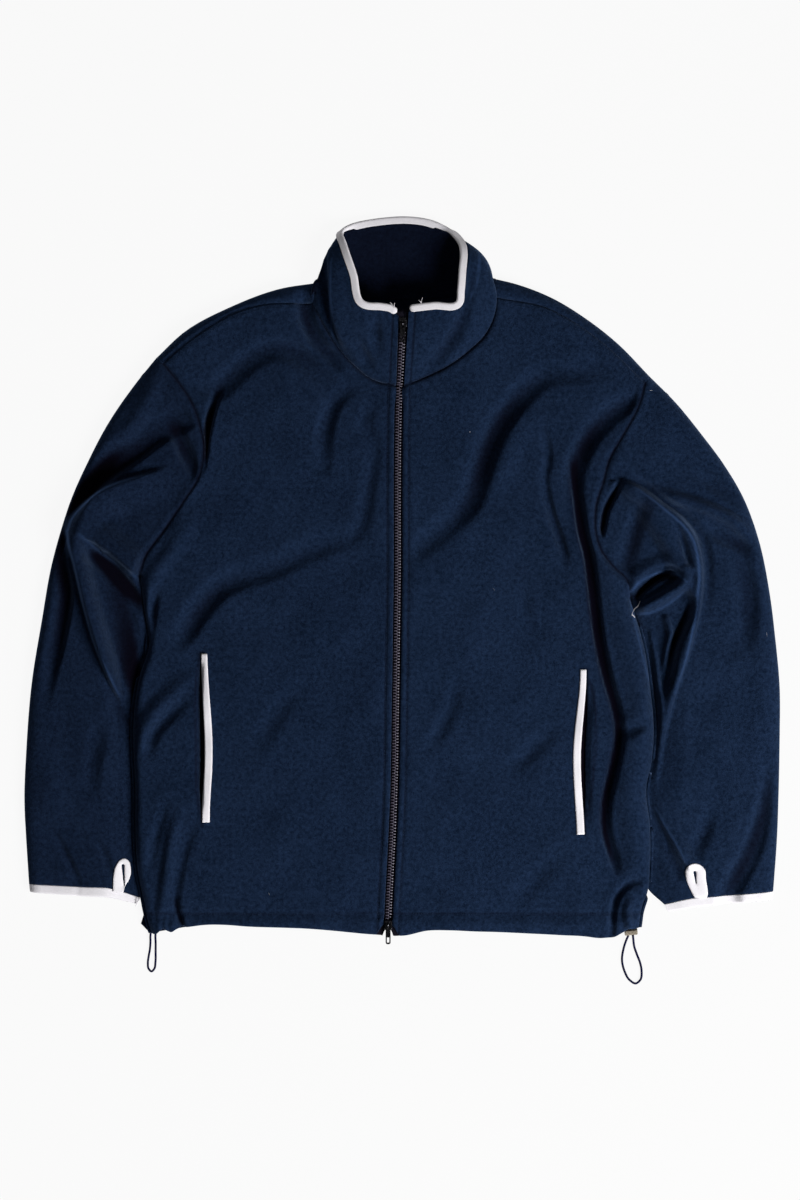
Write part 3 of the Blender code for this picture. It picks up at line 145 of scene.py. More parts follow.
# cloth, spread to its left and right, then points along it with the height there
creases = [
    # wearer's right sleeve: the flap and its arm
    ("sleeve", 32, 10, [(-365, 48, 0), (-350, 82, -7), (-320, 111, -14.5), (-289, 133, -12.5),
         (-262, 153, -9), (-237, 166, -6.5), (-221, 174, 0)]),
    ("sleeve", 6, 34, [(-361, 50, 9.5), (-356, 67, 16), (-338, 85, 19), (-309, 100, 17.5),
         (-284, 108, 13), (-266, 115, 6.5), (-251, 120, 0)]),
    ("sleeve", 30, 5, [(-361, 53, 9.5), (-334, 43, 16), (-311, 27, 19), (-289, 8, 19),
         (-281, 0, 13)]),
    ("sleeve", 8, 14, [(-347, 35, 0), (-327, 23, -14.5), (-305, 3, -21.5), (-289, -15, -21.5),
         (-282, -28, -11)]),
    ("sleeve", 18, 6, [(-362, 53, 13), (-356, 35, 17.5), (-348, 3, 19), (-338, -37, 19),
         (-327, -73, 17.5), (-311, -114, 14.5), (-293, -148, 6.5)]),
    ("sleeve", 10, 18, [(-289, 156, 0), (-316, 129, -5.5), (-341, 93, -11), (-365, 57, -14.5),
         (-369, 21, -14.5), (-363, -15, -14.5), (-370, -60, -11), (-381, -105, -5.5),
         (-388, -141, 0)]),
    ("sleeve", 12, 36, [(-320, 23, -5.5), (-309, 3, -10), (-300, -33, -11.5), (-292, -73, -15),
         (-288, -109, -17), (-287, -145, -12.5), (-286, -177, -3.5)]),
    ("sleeve", 6, 9, [(-377, -271, 0), (-361, -303, -4.5), (-350, -325, -2)]),
    ("sleeve", 7, 7, [(-332, -276, 0), (-320, -303, -4.5), (-316, -321, 0)]),
    ("sleeve", 14, 14, [(-323, -141, 0), (-329, -172, -4.5), (-336, -208, -4.5),
         (-338, -240, 0)]),
    ("sleeve", 20, 20, [(-397, -159, 0), (-383, -217, 3), (-370, -271, 0)]),
    ("sleeve", 16, 16, [(-266, 228, 0), (-275, 197, 5), (-293, 165, 5), (-316, 134, 0)]),
    ("sleeve", 13, 11, [(-251, 174, -2), (-242, 153, -10), (-234, 134, -11.5),
         (-224, 114, -5.5)]),
    # wearer's right front
    ("body", 16, 18, [(-233, 221, 0), (-203, 208, -6.5), (-190, 215, -7.5), (-167, 237, -7.5),
         (-140, 250, -7.5), (-113, 244, -8.5), (-93, 226, -6.5), (-80, 208, -3.5)]),
    ("body", 5, 9, [(-194, 214, 0), (-201, 194, -8.5), (-207, 175, -18.5), (-211, 156, -22),
         (-213, 139, -20), (-215, 125, -10), (-218, 113, 0)]),
    ("body", 12, 14, [(-111, 327, 0), (-107, 305, -10), (-102, 278, -12), (-90, 255, -9),
         (-77, 241, -8.5), (-64, 227, 0)]),
    ("body", 12, 14, [(-50, 215, 0), (-75, 188, -6.5), (-84, 156, -6.5), (-85, 125, -3.5),
         (-89, 111, 0)]),
    ("body", 12, 12, [(-26, 201, 0), (-41, 170, -4), (-31, 143, -4), (-37, 102, -5),
         (-46, 57, -3.5), (-64, 44, 0)]),
    ("body", 14, 22, [(-28, 46, 0), (-64, 43, -3.5), (-100, 30, -6), (-136, 12, -6),
         (-172, 1, -6.5), (-199, -13, -9), (-219, -37, -10), (-235, -60, -6.5), (-251, -73, 0)]),
    ("body", 14, 14, [(-226, 75, 0), (-244, 39, 4.5), (-266, 8, 6), (-275, -15, 4.5),
         (-278, -37, 0)]),
    ("body", 7, 7, [(-266, -1, 0), (-269, -28, -6.5), (-273, -60, -5), (-278, -82, 0)]),
    ("body", 16, 16, [(-100, -100, 0), (-127, -132, -3.5), (-147, -163, -3.5), (-158, -190, 0)]),
    ("body", 8, 16, [(-219, -98, 0), (-244, -121, 5), (-266, -143, 6), (-280, -168, 4.5),
         (-284, -190, 0)]),
    ("body", 10, 10, [(-226, -123, 0), (-248, -143, -5), (-269, -168, -6), (-275, -195, 0)]),
    ("body", 8, 9, [(-251, -231, 0), (-261, -260, -3.5), (-269, -289, -3.5), (-273, -321, 0)]),
    ("body", 8, 8, [(-219, -249, 0), (-233, -285, -2.5), (-241, -316, -4), (-245, -343, -4),
         (-242, -366, -1.5)]),
    ("body", 4, 3.5, [(-246, -339, 0), (-245, -350, -8.5), (-242, -362, -12), (-238, -376, -10),
         (-235, -386, -6.5)]),
    ("body", 9, 9, [(-235, -235, 0), (-248, -276, 4.5), (-255, -321, 6), (-260, -357, 4.5)]),
    ("body", 4, 4, [(-264, -350, 0), (-263, -368, 2), (-263, -386, 2.5)]),
    ("body", 4, 4, [(-255, -352, 0), (-256, -370, 2), (-256, -386, 2.5)]),
    ("body", 4, 5, [(-248, -357, 0), (-248, -375, 2), (-247, -386, 2.5)]),
    ("body", 3, 7, [(-216, -85, 0), (-217, -105, -3.5), (-218, -150, -5), (-217, -217, -5),
         (-216, -253, 0)]),
    # wearer's left front
    ("body", 7, 3, [(201, -100, 0), (201, -127, -4), (198, -177, -6), (198, -231, -5),
         (201, -271, 0)]),
    ("body", 16, 20, [(240, 227, 0), (195, 225, -3.5), (153, 218, -6.5), (128, 197, -10),
         (108, 172, -12), (93, 143, -12), (83, 111, -12), (72, 82, -10), (47, 57, -6),
         (20, 35, -5), (4, 30, 0)]),
    ("body", 18, 18, [(146, 188, 0), (123, 152, 4), (105, 111, 4), (94, 75, 0)]),
    ("body", 6, 9, [(150, 170, 0), (158, 134, -5), (154, 107, -4), (160, 75, -6.5),
         (172, 39, -6.5), (178, 17, 0)]),
    ("body", 14, 18, [(263, 201, 0), (243, 190, -8.5), (222, 175, -10), (202, 152, -13.5),
         (189, 125, -12), (185, 102, -6), (184, 82, 0)]),
    ("body", 4, 26, [(177, 129, 0), (183, 93, 1), (189, 57, 2), (195, 21, 2), (201, -15, 2),
         (205, -51, 1.5), (211, -82, 0)]),
    ("body", 10, 5.5, [(183, 134, 0), (185, 111, -10), (188, 84, -18.5), (192, 54, -23.5),
         (199, 25, -25), (203, -4, -27), (206, -29, -27), (209, -54, -27), (214, -83, -25),
         (221, -112, -22), (228, -136, -20), (232, -159, -18.5), (231, -179, -18.5),
         (225, -208, -18.5), (218, -240, -18.5), (218, -271, -17), (225, -298, -13.5),
         (232, -321, 0)]),
    ("body", 11, 10, [(234, -170, 0), (245, -163, -5), (256, -158, -6), (267, -153, 0)]),
    ("body", 20, 20, [(198, 120, 0), (209, 75, 3), (220, 30, 4.5), (229, -10, 5), (239, -51, 5),
         (249, -87, 5), (256, -127, 5), (256, -159, 5), (251, -195, 5), (246, -231, 5),
         (249, -271, 4.5), (251, -307, 3)]),
    ("body", 12, 12, [(60, -96, 0), (54, -132, -3.5), (40, -163, -4), (20, -195, 0)]),
    ("body", 14, 14, [(173, -154, 0), (146, -177, -4), (126, -195, -3.5), (110, -208, 0)]),
    ("body", 16, 16, [(177, -285, 0), (146, -321, -4), (119, -352, 0)]),
    ("body", 12, 12, [(128, 3, 0), (132, -28, -3), (137, -60, 0)]),
    ("body", 6, 6, [(266, -324, 0), (246, -328, -6.5), (232, -342, -8.5), (227, -361, -7.5),
         (226, -384, -5)]),
    ("body", 7, 7, [(249, -339, 0), (243, -357, 6), (245, -375, 6)]),
    # wearer's left sleeve: the rolled cloth under the arm
    ("sleeve", 5, 6, [(238, 111, 0), (229, 93, -14.5), (220, 75, -19.5), (216, 57, -16),
         (213, 44, 0)]),
    ("sleeve", 6, 16, [(234, 104, 6.5), (249, 99, 13), (272, 84, 16), (294, 68, 17.5),
         (312, 46, 19), (320, 12, 19), (318, -28, 17.5), (310, -64, 17.5), (297, -105, 14.5),
         (285, -145, 13), (277, -186, 8), (272, -226, 0)]),
    ("sleeve", 8, 5, [(243, 109, 0), (263, 100, -7), (285, 84, -7), (308, 66, -5.5),
         (326, 39, -5.5), (330, 3, -3.5), (328, -37, 0)]),
    ("sleeve", 20, 18, [(249, 89, 6.5), (272, 66, 14.5), (290, 39, 17.5), (302, 12, 16),
         (307, -1, 13)]),
    ("sleeve", 15, 12, [(266, 99, 0), (256, 77, -3.5), (248, 54, -5.5), (243, 32, -5.5),
         (238, 13, -3.5), (235, -1, 0)]),
    ("sleeve", 9, 9, [(307, 10, 13), (305, -1, 14.5), (297, -9, 16), (283, -18, 16),
         (267, -27, 14.5), (256, -32, 9.5)]),
    ("sleeve", 5, 5, [(290, 65, 0), (298, 53, -5.5), (304, 35, -7), (310, 14, -8),
         (313, -4, -5.5), (314, -15, 0)]),
    ("sleeve", 14, 4, [(246, -13, 5), (251, -2, 5.5), (262, 9, 5.5), (277, 16, 5.5),
         (291, 18, 5.5), (303, 12, 6.5)]),
    ("sleeve", 4.5, 5, [(253, -18, -14.5), (261, -9, -27), (272, 0, -32.5), (283, 6, -30.5),
         (290, 7, -12.5)]),
    ("sleeve", 5, 6, [(246, -15, -11), (248, -33, -18), (258, -53, -11), (267, -60, 0)]),
    ("sleeve", 8, 7, [(312, -15, 0), (308, -37, -16), (300, -55, -16), (292, -73, -14.5),
         (288, -100, -9), (283, -127, 0)]),
    ("sleeve", 6, 6, [(267, -51, 0), (273, -87, 9.5), (277, -127, 11), (277, -159, 9.5),
         (273, -195, 5), (270, -222, 0)]),
    ("sleeve", 5, 6, [(285, -42, 5), (289, -60, 8), (285, -87, 6.5), (282, -109, 0)]),
    ("sleeve", 6, 6, [(263, -60, 0), (266, -96, -14.5), (270, -132, -14.5), (270, -168, -11),
         (268, -195, 0)]),
    ("sleeve", 10, 10, [(258, 97, 0), (290, 89, 6.5), (321, 80, 9.5), (353, 66, 9.5),
         (378, 48, 3)]),
    ("sleeve", 12, 12, [(321, 62, 0), (344, 48, -7), (371, 35, -7), (384, 21, 0)]),
    ("sleeve", 14, 12, [(312, 120, 0), (339, 102, -5.5), (366, 84, -5.5), (380, 66, 0)]),
    ("sleeve", 18, 18, [(353, 48, 0), (364, 21, -6.5), (372, -15, -8), (370, -51, -6.5),
         (364, -87, 0)]),
    ("sleeve", 16, 4, [(270, -240, 0), (281, -262, 6.5), (294, -285, 8), (307, -305, 6.5),
         (312, -316, 0)]),
    ("sleeve", 8, 10, [(273, -267, 0), (285, -294, -7), (297, -312, -7), (303, -325, 0)]),
    ("sleeve", 12, 12, [(333, -244, 0), (326, -271, -5.5), (315, -294, -3.5), (308, -307, 0)]),
    ("sleeve", 15, 16, [(399, -186, 0), (395, -231, -9), (386, -269, -11.5), (374, -298, -11.5),
         (360, -325, -11.5), (350, -343, -7)]),
    ("sleeve", 22, 22, [(389, -15, 0), (393, -105, 2.5), (384, -195, 0)]),
    # collar
    ("collar", 20, 5, [(-77, 359, 0), (-77, 345, 4), (-77, 319, 5), (-75, 289, 5), (-70, 263, 4),
         (-59, 244, 0)]),
    ("collar", 9, 9, [(-84, 345, 0), (-85, 317, -4.5), (-83, 289, -6), (-76, 263, -6),
         (-64, 241, -3), (-55, 233, 0)]),
    ("collar", 9, 9, [(-30, 285, 0), (-29, 270, -4.5), (-28, 254, -3), (-26, 239, 0)]),
    ("collar", 9, 9, [(-52, 259, 0), (-45, 246, -4.5), (-37, 234, -4.5), (-31, 225, 0)]),
    ("collar", 11, 13, [(78, 343, 0), (73, 324, -5), (68, 302, -7.5), (64, 280, -8),
         (57, 261, -8), (44, 244, -7.5), (30, 230, -5), (17, 222, 0)]),
    ("collar", 8, 8, [(94, 324, 0), (100, 302, 4), (97, 276, 4), (84, 254, 4), (66, 237, 0)]),
]

# width and route: painted highlight along a fold's edge above 0, painted shade below 0
paintedRimLines = [
    ("sleeve", 8, [(269, 95, -0.2), (263, 75, -0.45), (255, 53, -0.6), (248, 30, -0.6),
         (243, 10, -0.35)]),
    ("body", 3.4, [(181, 111, -0.5), (185, 84, -0.75), (189, 54, -0.85), (196, 25, -0.85),
         (200, -4, -0.85), (202, -29, -0.85), (206, -54, -0.85), (211, -83, -0.8),
         (218, -112, -0.7), (225, -136, -0.6), (229, -159, -0.6), (228, -179, -0.6),
         (222, -208, -0.55), (215, -240, -0.55), (215, -271, -0.4)]),
    ("sleeve", 3.4, [(252, -20, -0.9), (260, -11, -1), (271, -3, -1), (284, 2, -1),
         (293, 2, -0.9)]),
    ("sleeve", 1.3, [(-361, 53, 0.75), (-356, 67, 0.9), (-341, 83, 0.85), (-320, 99, 0.7),
         (-294, 108, 0.5), (-275, 112, 0.2)]),
    ("sleeve", 1.3, [(-362, 53, 0.8), (-359, 35, 0.75), (-352, 9, 0.65), (-344, -29, 0.6),
         (-335, -62, 0.5), (-323, -89, 0.4), (-306, -125, 0.2)]),
    ("sleeve", 1.3, [(-348, 49, 0.2), (-324, 28, 0.3), (-302, 13, 0.3), (-284, 0, 0.2)]),
    ("sleeve", 1.3, [(239, 107, 0.1), (264, 90, 0.3), (285, 73, 0.4), (303, 57, 0.5),
         (314, 39, 0.6), (319, 10, 0.6), (317, -19, 0.5), (312, -54, 0.45), (305, -87, 0.3),
         (294, -123, 0.1)]),
    ("sleeve", 1.3, [(246, -13, 0.5), (260, 0, 0.55), (276, 7, 0.55), (293, 7, 0.5),
         (305, -2, 0.4)]),
    ("sleeve", 1.3, [(249, -37, 0.2), (267, -36, 0.35), (285, -28, 0.35), (302, -15, 0.2)]),
    ("sleeve", 1.3, [(273, -246, 0.35), (285, -268, 0.4), (296, -287, 0.45), (305, -305, 0.5)]),
    ("collar", 1.3, [(-77, 345, 0.4), (-78, 328, 0.5), (-78, 302, 0.5), (-77, 280, 0.45),
         (-75, 261, 0.3), (-70, 250, 0.15)]),
    ("collar", 1.3, [(83, 349, 0.3), (82, 333, 0.4), (79, 317, 0.4), (73, 302, 0.25)]),
    ("body", 1.3, [(244, -6, 0.25), (250, -42, 0.3), (257, -73, 0.3), (266, -109, 0.25)]),
]


def hermite(stations, values, at):      # smooth curve that takes each value at its station
    stations = np.asarray(stations, float)
    values = np.asarray(values, float)
    at = np.clip(np.asarray(at, float), stations[0], stations[-1])
    slopes = np.gradient(values, stations, axis=0)
    cell = np.clip(np.searchsorted(stations, at, side="right") - 1, 0, len(stations) - 2)
    span = (stations[cell + 1] - stations[cell])[:, None]
    u = (at - stations[cell])[:, None] / span
    return ((1 + 2 * u) * (1 - u) ** 2 * values[cell] + u * (1 - u) ** 2 * span * slopes[cell]
            + u * u * (3 - 2 * u) * values[cell + 1] + u * u * (u - 1) * span * slopes[cell + 1])


def sums(steps):                        # from 0, one more than there are steps
    return np.concatenate([[0.0], np.cumsum(steps)])


def lengths(line):                      # length passed at each point of a line
    return sums(np.linalg.norm(np.diff(line, axis=0), axis=1))


def shares(line):                       # the same, as a share of the whole length
    passed = lengths(line)
    return passed / passed[-1]


def rise(rows):                         # length passed up each column of a grid
    steps = np.linalg.norm(np.diff(rows, axis=0), axis=2)
    return np.vstack([np.zeros(rows.shape[1]), np.cumsum(steps, axis=0)])


def unit(vectors):
    return vectors / np.linalg.norm(vectors, axis=-1, keepdims=True)


def bell(away, wide):                   # 1 at the middle of a line, fading to both sides
    return np.exp(-(away / wide) ** 2)


def along(points, at):                  # smooth curve at shares 0 to 1 of its length
    points = np.asarray(points, float)
    return hermite(shares(points), points, at)


def routeLine(route, density):          # smooth line through a route's stations
    route = np.array(route, float)
    return hermite(np.arange(len(route)), route,
                   np.linspace(0, len(route) - 1, density * len(route)))


def xAt(points, heights):
    line = along(points, np.linspace(0, 1, 300))
    return np.interp(heights, line[:, 1], line[:, 0])


def offsetLine(line, distance):         # to the left of its direction if positive
    run = unit(np.gradient(line[:, :2], axis=0))
    moved = line.copy()
    moved[:, 0] -= distance * run[:, 1]
    moved[:, 1] += distance * run[:, 0]
    return moved


def fromLine(line, points):             # distance, signed side, share along the line
    start, run = line[:-1], np.diff(line, axis=0)
    length = np.linalg.norm(run, axis=1)
    best = np.full(len(points), 1e9)
    side = np.zeros(len(points))
    travelled = np.zeros(len(points))
    passed = lengths(line)
    for k in range(len(start)):
        gap = points - start[k]
        share = np.clip(gap @ run[k] / length[k] ** 2, 0, 1)
        away = gap - share[:, None] * run[k]
        distance = np.hypot(away[:, 0], away[:, 1])
        nearer = distance < best - 1e-9
        best[nearer] = distance[nearer]
        side[nearer] = np.sign(run[k, 0] * away[nearer, 1] - run[k, 1] * away[nearer, 0])
        travelled[nearer] = passed[k] + share[nearer] * length[k]
    return best, side, travelled / passed[-1]


def ease(share):
    share = np.clip(share, 0, 1)
    return share * share * (3 - 2 * share)


def roll(distance, reach):              # upright at an edge, level from reach inwards
    return np.sqrt(1 - (1 - np.clip(distance / reach, 0, 1)) ** 2)


dense = np.linspace(0, 1, 90)
outerLine = {side: np.vstack([along(shoulderFold[side], dense)[::-1],
                              along(sleeveFold[side], dense)[1:]]) for side in sides}
sideLine = {side: along(sideSeam[side], dense) for side in sides}
armholeLine = {side: along(armhole[side], dense) for side in sides}
shoulderLine = {side: along(shoulderSeam[side], dense) for side in sides}
neckLine = {side: along(neckSeam[side], dense) for side in sides}


def nearest(lines, points):
    return np.minimum(*(fromLine(lines[side], points)[0] for side in sides))


def creaseHeight(cloth, points):        # sum of a cloth's creases at each point
    total = np.zeros(len(points))
    for name, left, right, route in creases:
        if name != cloth:
            continue
        line = routeLine(route, 6)
        spread = max(left, right)
        low, high = line[:, :2].min(0) - spread, line[:, :2].max(0) + spread
        near = np.all((points > low) & (points < high), axis=1)
        if not near.any():
            continue
        distance, side, share = fromLine(line[:, :2], points[near])
        height = np.interp(share, shares(line[:, :2]), line[:, 2])
        width = np.where(side > 0, left, right)
        total[near] += height * (1 - np.clip(distance / width, 0, 1) ** 2) ** 2
    tallest = crease["tallest"]
    return np.where(total > 0, tallest * np.tanh(total / tallest), total)


def ripple(points):                     # the cloth's slight unevenness
    total = np.zeros(len(points))
    for size, height, turn, start in crease["ripples"]:
        direction = np.array([math.cos(turn), math.sin(turn)])
        across = np.array([-direction[1], direction[0]])
        bend = 0.8 * np.sin(2 * math.pi * (points @ across) / (1.7 * size) + start)
        total += height * np.sin(2 * math.pi * (points @ direction) / size + bend + start)
    return total


def clothTop(cloth, points):      # plan points raised to the upper cloth's outer face
    points = np.asarray(points, float)[:, :2]
    outer = nearest(outerLine, points)
    beside = nearest(sideLine, points)
    y = points[:, 1]
    if cloth == "body":
        level = ease((y - lie["hemFrom"]) / lie["hemSpan"])
        height = lie["hemRise"] + (lie["bodyRise"] - lie["hemRise"]) * level
        away = y - casing["y"]
        height = (height + casing["bead"] * bell(away + casing["beadAway"], casing["beadWide"])
                  - casing["groove"] * bell(away, casing["grooveWide"]))
        reach = lie["sideReach"]
    else:
        level = ease((y - lie["cuffFrom"]) / lie["cuffSpan"])
        height = lie["cuffRise"] + (lie["bodyRise"] - lie["cuffRise"]) * level
        reach = lie["edgeReach"]
    edge = roll(outer, lie["edgeReach"]) * roll(beside, reach)
    if cloth == "sleeve":               # under the arm it is tucked in below the body's side
        tucked = ease(-y / lie["tuckSpan"])
        lower = ease(beside / lie["tuckReach"]) / np.maximum(roll(beside, reach), 0.01)
        edge *= 1 + tucked * (lower - 1)
    top = lie["rolledEdge"] + (height - lie["rolledEdge"]) * edge
    sewn = nearest(armholeLine, points)
    fade = (ease(outer / calm["fold"]) * ease(beside / calm["side"])
            * ease(sewn / calm["armhole"]))
    shift = creaseHeight(cloth, points) + ripple(points)
    if cloth == "body":
        besideZip = np.abs(points[:, 0] - xAt(zipLine, y)) - calm["zipFrom"]
        fade = fade * ease(besideZip / calm["zip"])
        seams = np.minimum(nearest(shoulderLine, points), nearest(neckLine, points))
        seams = np.minimum(sewn, seams)
    else:
        seams = sewn
    room = np.maximum(top - lie["lowestTop"], 0.5)      # a trough flattens over the cloth below
    down = np.maximum(-fade * shift, 0)
    raised = top + np.maximum(fade * shift, 0) - down / (1 + (down / room) ** 4) ** 0.25
    depth = seam["depth"] * bell(seams, seam["groove"])
    puff = seam["puff"] * bell(seams - seam["puffAway"], seam["puffWide"])
    raised = raised + (puff - depth) * edge
    return np.column_stack([points, raised])


def link(name, points, faces):
    data = bpy.data.meshes.new(name)
    data.from_pydata((np.asarray(points) * mm).tolist(), [], faces)
    data.validate()
    piece = bpy.data.objects.new(name, data)
    bpy.context.scene.collection.objects.link(piece)
    data.polygons.foreach_set("use_smooth", [True] * len(data.polygons))
    return piece


def tidyMesh(piece, flip=False):
    mesh = bmesh.new()
    mesh.from_mesh(piece.data)
    bmesh.ops.remove_doubles(mesh, verts=mesh.verts, dist=2e-6)
    bmesh.ops.dissolve_degenerate(mesh, edges=mesh.edges, dist=2e-6)
    loose = [v for v in mesh.verts if not v.link_faces]
    bmesh.ops.delete(mesh, geom=loose, context="VERTS")
    if flip:
        bmesh.ops.reverse_faces(mesh, faces=mesh.faces)
    mesh.to_mesh(piece.data)
    mesh.free()
    return piece


def gridFaces(rows, columns, holes=(), closedRows=False, closedColumns=False):
    faces = []
    for i in range(rows if closedRows else rows - 1):
        for j in range(columns if closedColumns else columns - 1):
            if (i, j) in holes:
                continue
            a, b = (i + 1) % rows, (j + 1) % columns
            faces.append((i * columns + j, i * columns + b, a * columns + b, a * columns + j))
    return faces


def applyModifier(piece, kind, **values):
    bpy.ops.object.select_all(action="DESELECT")
    bpy.context.view_layer.objects.active = piece
    piece.select_set(True)
    modifier = piece.modifiers.new(kind.lower(), kind)
    for name, value in values.items():
        setattr(modifier, name, value)
    bpy.ops.object.modifier_apply(modifier=modifier.name)
    piece.select_set(False)


def clothWall(name, grid, wall, up, holes=()):      # grid is the cloth's outer face
    rows, columns = grid.shape[:2]
    piece = link(name, grid.reshape(-1, 3), gridFaces(rows, columns, holes))
    tidyMesh(piece, flip=not up)
    applyModifier(piece, "SOLIDIFY", thickness=wall * mm, offset=-1)
    for v in piece.data.vertices:       # nothing lies below the floor
        v.co.z = max(v.co.z, 0)
    return piece


def skin(name, grid, closedColumns=False, flip=False):         # its rows close to a tube
    rows, columns = grid.shape[:2]
    grid[..., 2] = np.maximum(grid[..., 2], 0)
    faces = gridFaces(rows, columns, (), True, closedColumns)
    if not closedColumns:               # flat ends
        faces.append(tuple(i * columns for i in range(rows)))
        faces.append(tuple(i * columns + columns - 1 for i in range(rows))[::-1])
    return tidyMesh(link(name, grid.reshape(-1, 3), faces), flip)


def shade(piece, values, layerName="shade"):        # writes painted shade (layer shade) or painted highlight (layer rim), 0 to 1 at each point, for the finish
    layer = piece.data.attributes.new(layerName, "FLOAT", "POINT")
    layer.data.foreach_set("value", np.asarray(values, np.float32))


def paintedRimLightAndShade(cloth, points):            # painted highlight along a fold's edge above 0, painted shade below 0
    light, paintedRimShade = np.zeros(len(points)), np.zeros(len(points))
    for name, wide, route in paintedRimLines:
        if name != cloth:
            continue
        line = routeLine(route, 8)
        away, _, share = fromLine(line[:, :2], points)
        strength = np.interp(share, np.linspace(0, 1, len(line)), line[:, 2]) * bell(away, wide)
        light, paintedRimShade = np.maximum(light, strength), np.maximum(paintedRimShade, -strength)
    return light, paintedRimShade


def pointsOf(piece):                    # in millimetres
    points = np.empty(len(piece.data.vertices) * 3)
    piece.data.vertices.foreach_get("co", points)
    return points.reshape(-1, 3) / mm


shadedLines = {         # width and depth of the painted shade along each
    "armhole": (1.7, 0.75), "shoulder": (1.3, 0.6), "neck": (2.2, 0.6), "stitches": (1.2, 0.5),
    "casing": (1.3, 0.45), "pocketSeam": (1.5, 0.6), "pocketEdge": (2.6, 0.55)}
paintedPieceShade = {"rightFront": 0.04, "rightSleeve": 0.24}        # painted shade over a whole piece, darkening the wearer's right side


def paintShadeAndRims(piece, cloth):         # painted shade in creases and along seams, stitch lines and pocket edges, plus the painted rim layer
    points = pointsOf(piece)[:, :2]
    low, high = crease["shadeFrom"]
    dark = crease["darkest"] * ease((-creaseHeight(cloth, points) - low) / (high - low))
    lines = [("armhole", nearest(armholeLine, points))]
    light, paintedRimShade = paintedRimLightAndShade(cloth, points)
    shade(piece, light, "rim")
    if cloth == "body":
        x, y = points.T
        inside = np.abs(x - xAt(zipLine, y)) - zipParts["gap"] / 2
        lines += [("shoulder", nearest(shoulderLine, points)), ("neck", nearest(neckLine, points)),
                  ("stitches", inside - zipParts["stitch"]), ("casing", y - casing["y"])]
        for side in sides:
            bag = along(pocket["seams"][side], dense)
            lines += [("pocketSeam", fromLine(bag, points)[0]),
                      ("pocketEdge", fromLine(pocketLines(side)[1], points)[0])]
    dark = np.maximum(dark, paintedRimShade)
    for name, away in lines:
        wide, deep = shadedLines[name]
        dark = np.maximum(dark, deep * bell(away, wide))
    start = paintedPieceShade.get(piece.name, 0.0)
    shade(piece, start + (1 - start) * dark)


def stationsOf(counts):                 # fractional places: so many steps in each cell
    places = [0.0]
    for cell, count in enumerate(counts):
        inside = count if isinstance(count, list) else [k / count for k in range(1, count + 1)]
        places += [cell + share for share in inside]
    return np.array(places)


def refine(grid, rowPlaces, columnPlaces):          # places count in rows and columns
    rows, columns, depth = grid.shape
    passed = sums(np.linalg.norm(np.diff(grid, axis=0), axis=2).mean(axis=1))
    tall = hermite(passed, grid.reshape(rows, -1), np.interp(rowPlaces, np.arange(rows), passed))
    lines = []
    for line in tall.reshape(len(rowPlaces), columns, depth):
        passed = sums(np.maximum(np.linalg.norm(np.diff(line, axis=0), axis=1), 1e-6))
        lines.append(hermite(passed, line, np.interp(columnPlaces, np.arange(columns), passed)))
    return np.array(lines)


def raiseGrid(cloth, grid):
    rows, columns = grid.shape[:2]
    return clothTop(cloth, grid.reshape(-1, grid.shape[2])).reshape(rows, columns, 3)


# rows of the grids
sideLevels = {         # heights of the rows from hem to underarm
    "right": [-382, -372, -361, -340, -318, -290, -262, -243, -224, -205, -185, -160, -134,
              -107, -80, -58, -38, -18, 3],
    "left": [-376, -370, -361, -344, -324, -300, -275, -254, -232, -211, -190, -166, -143,
             -120, -97, -78, -58, -39, -20],
}
armholeRows = 18
neckRows = 9
zipRowCount = 27           # rows of a front from hem to the middle of the neck
cuffRows = 16          # rows of a sleeve from underarm to cuff
pocketRows = (6, 14)
mouthColumn = 6        # the mouth is one column of a front's grid wide
facingWide = 14.0      # last column, beside the zip


def bodyEdge(side):                     # hem to underarm, then to the shoulder seam
    levels = np.array(sideLevels[side], float)
    lower = np.column_stack([xAt(sideSeam[side], levels), levels])
    upper = along(armhole[side], np.linspace(0, 1, armholeRows + 1))
    return np.vstack([lower, upper[1:]])


edgeOf = {side: bodyEdge(side) for side in sides}
underarm = len(sideLevels["right"]) - 1


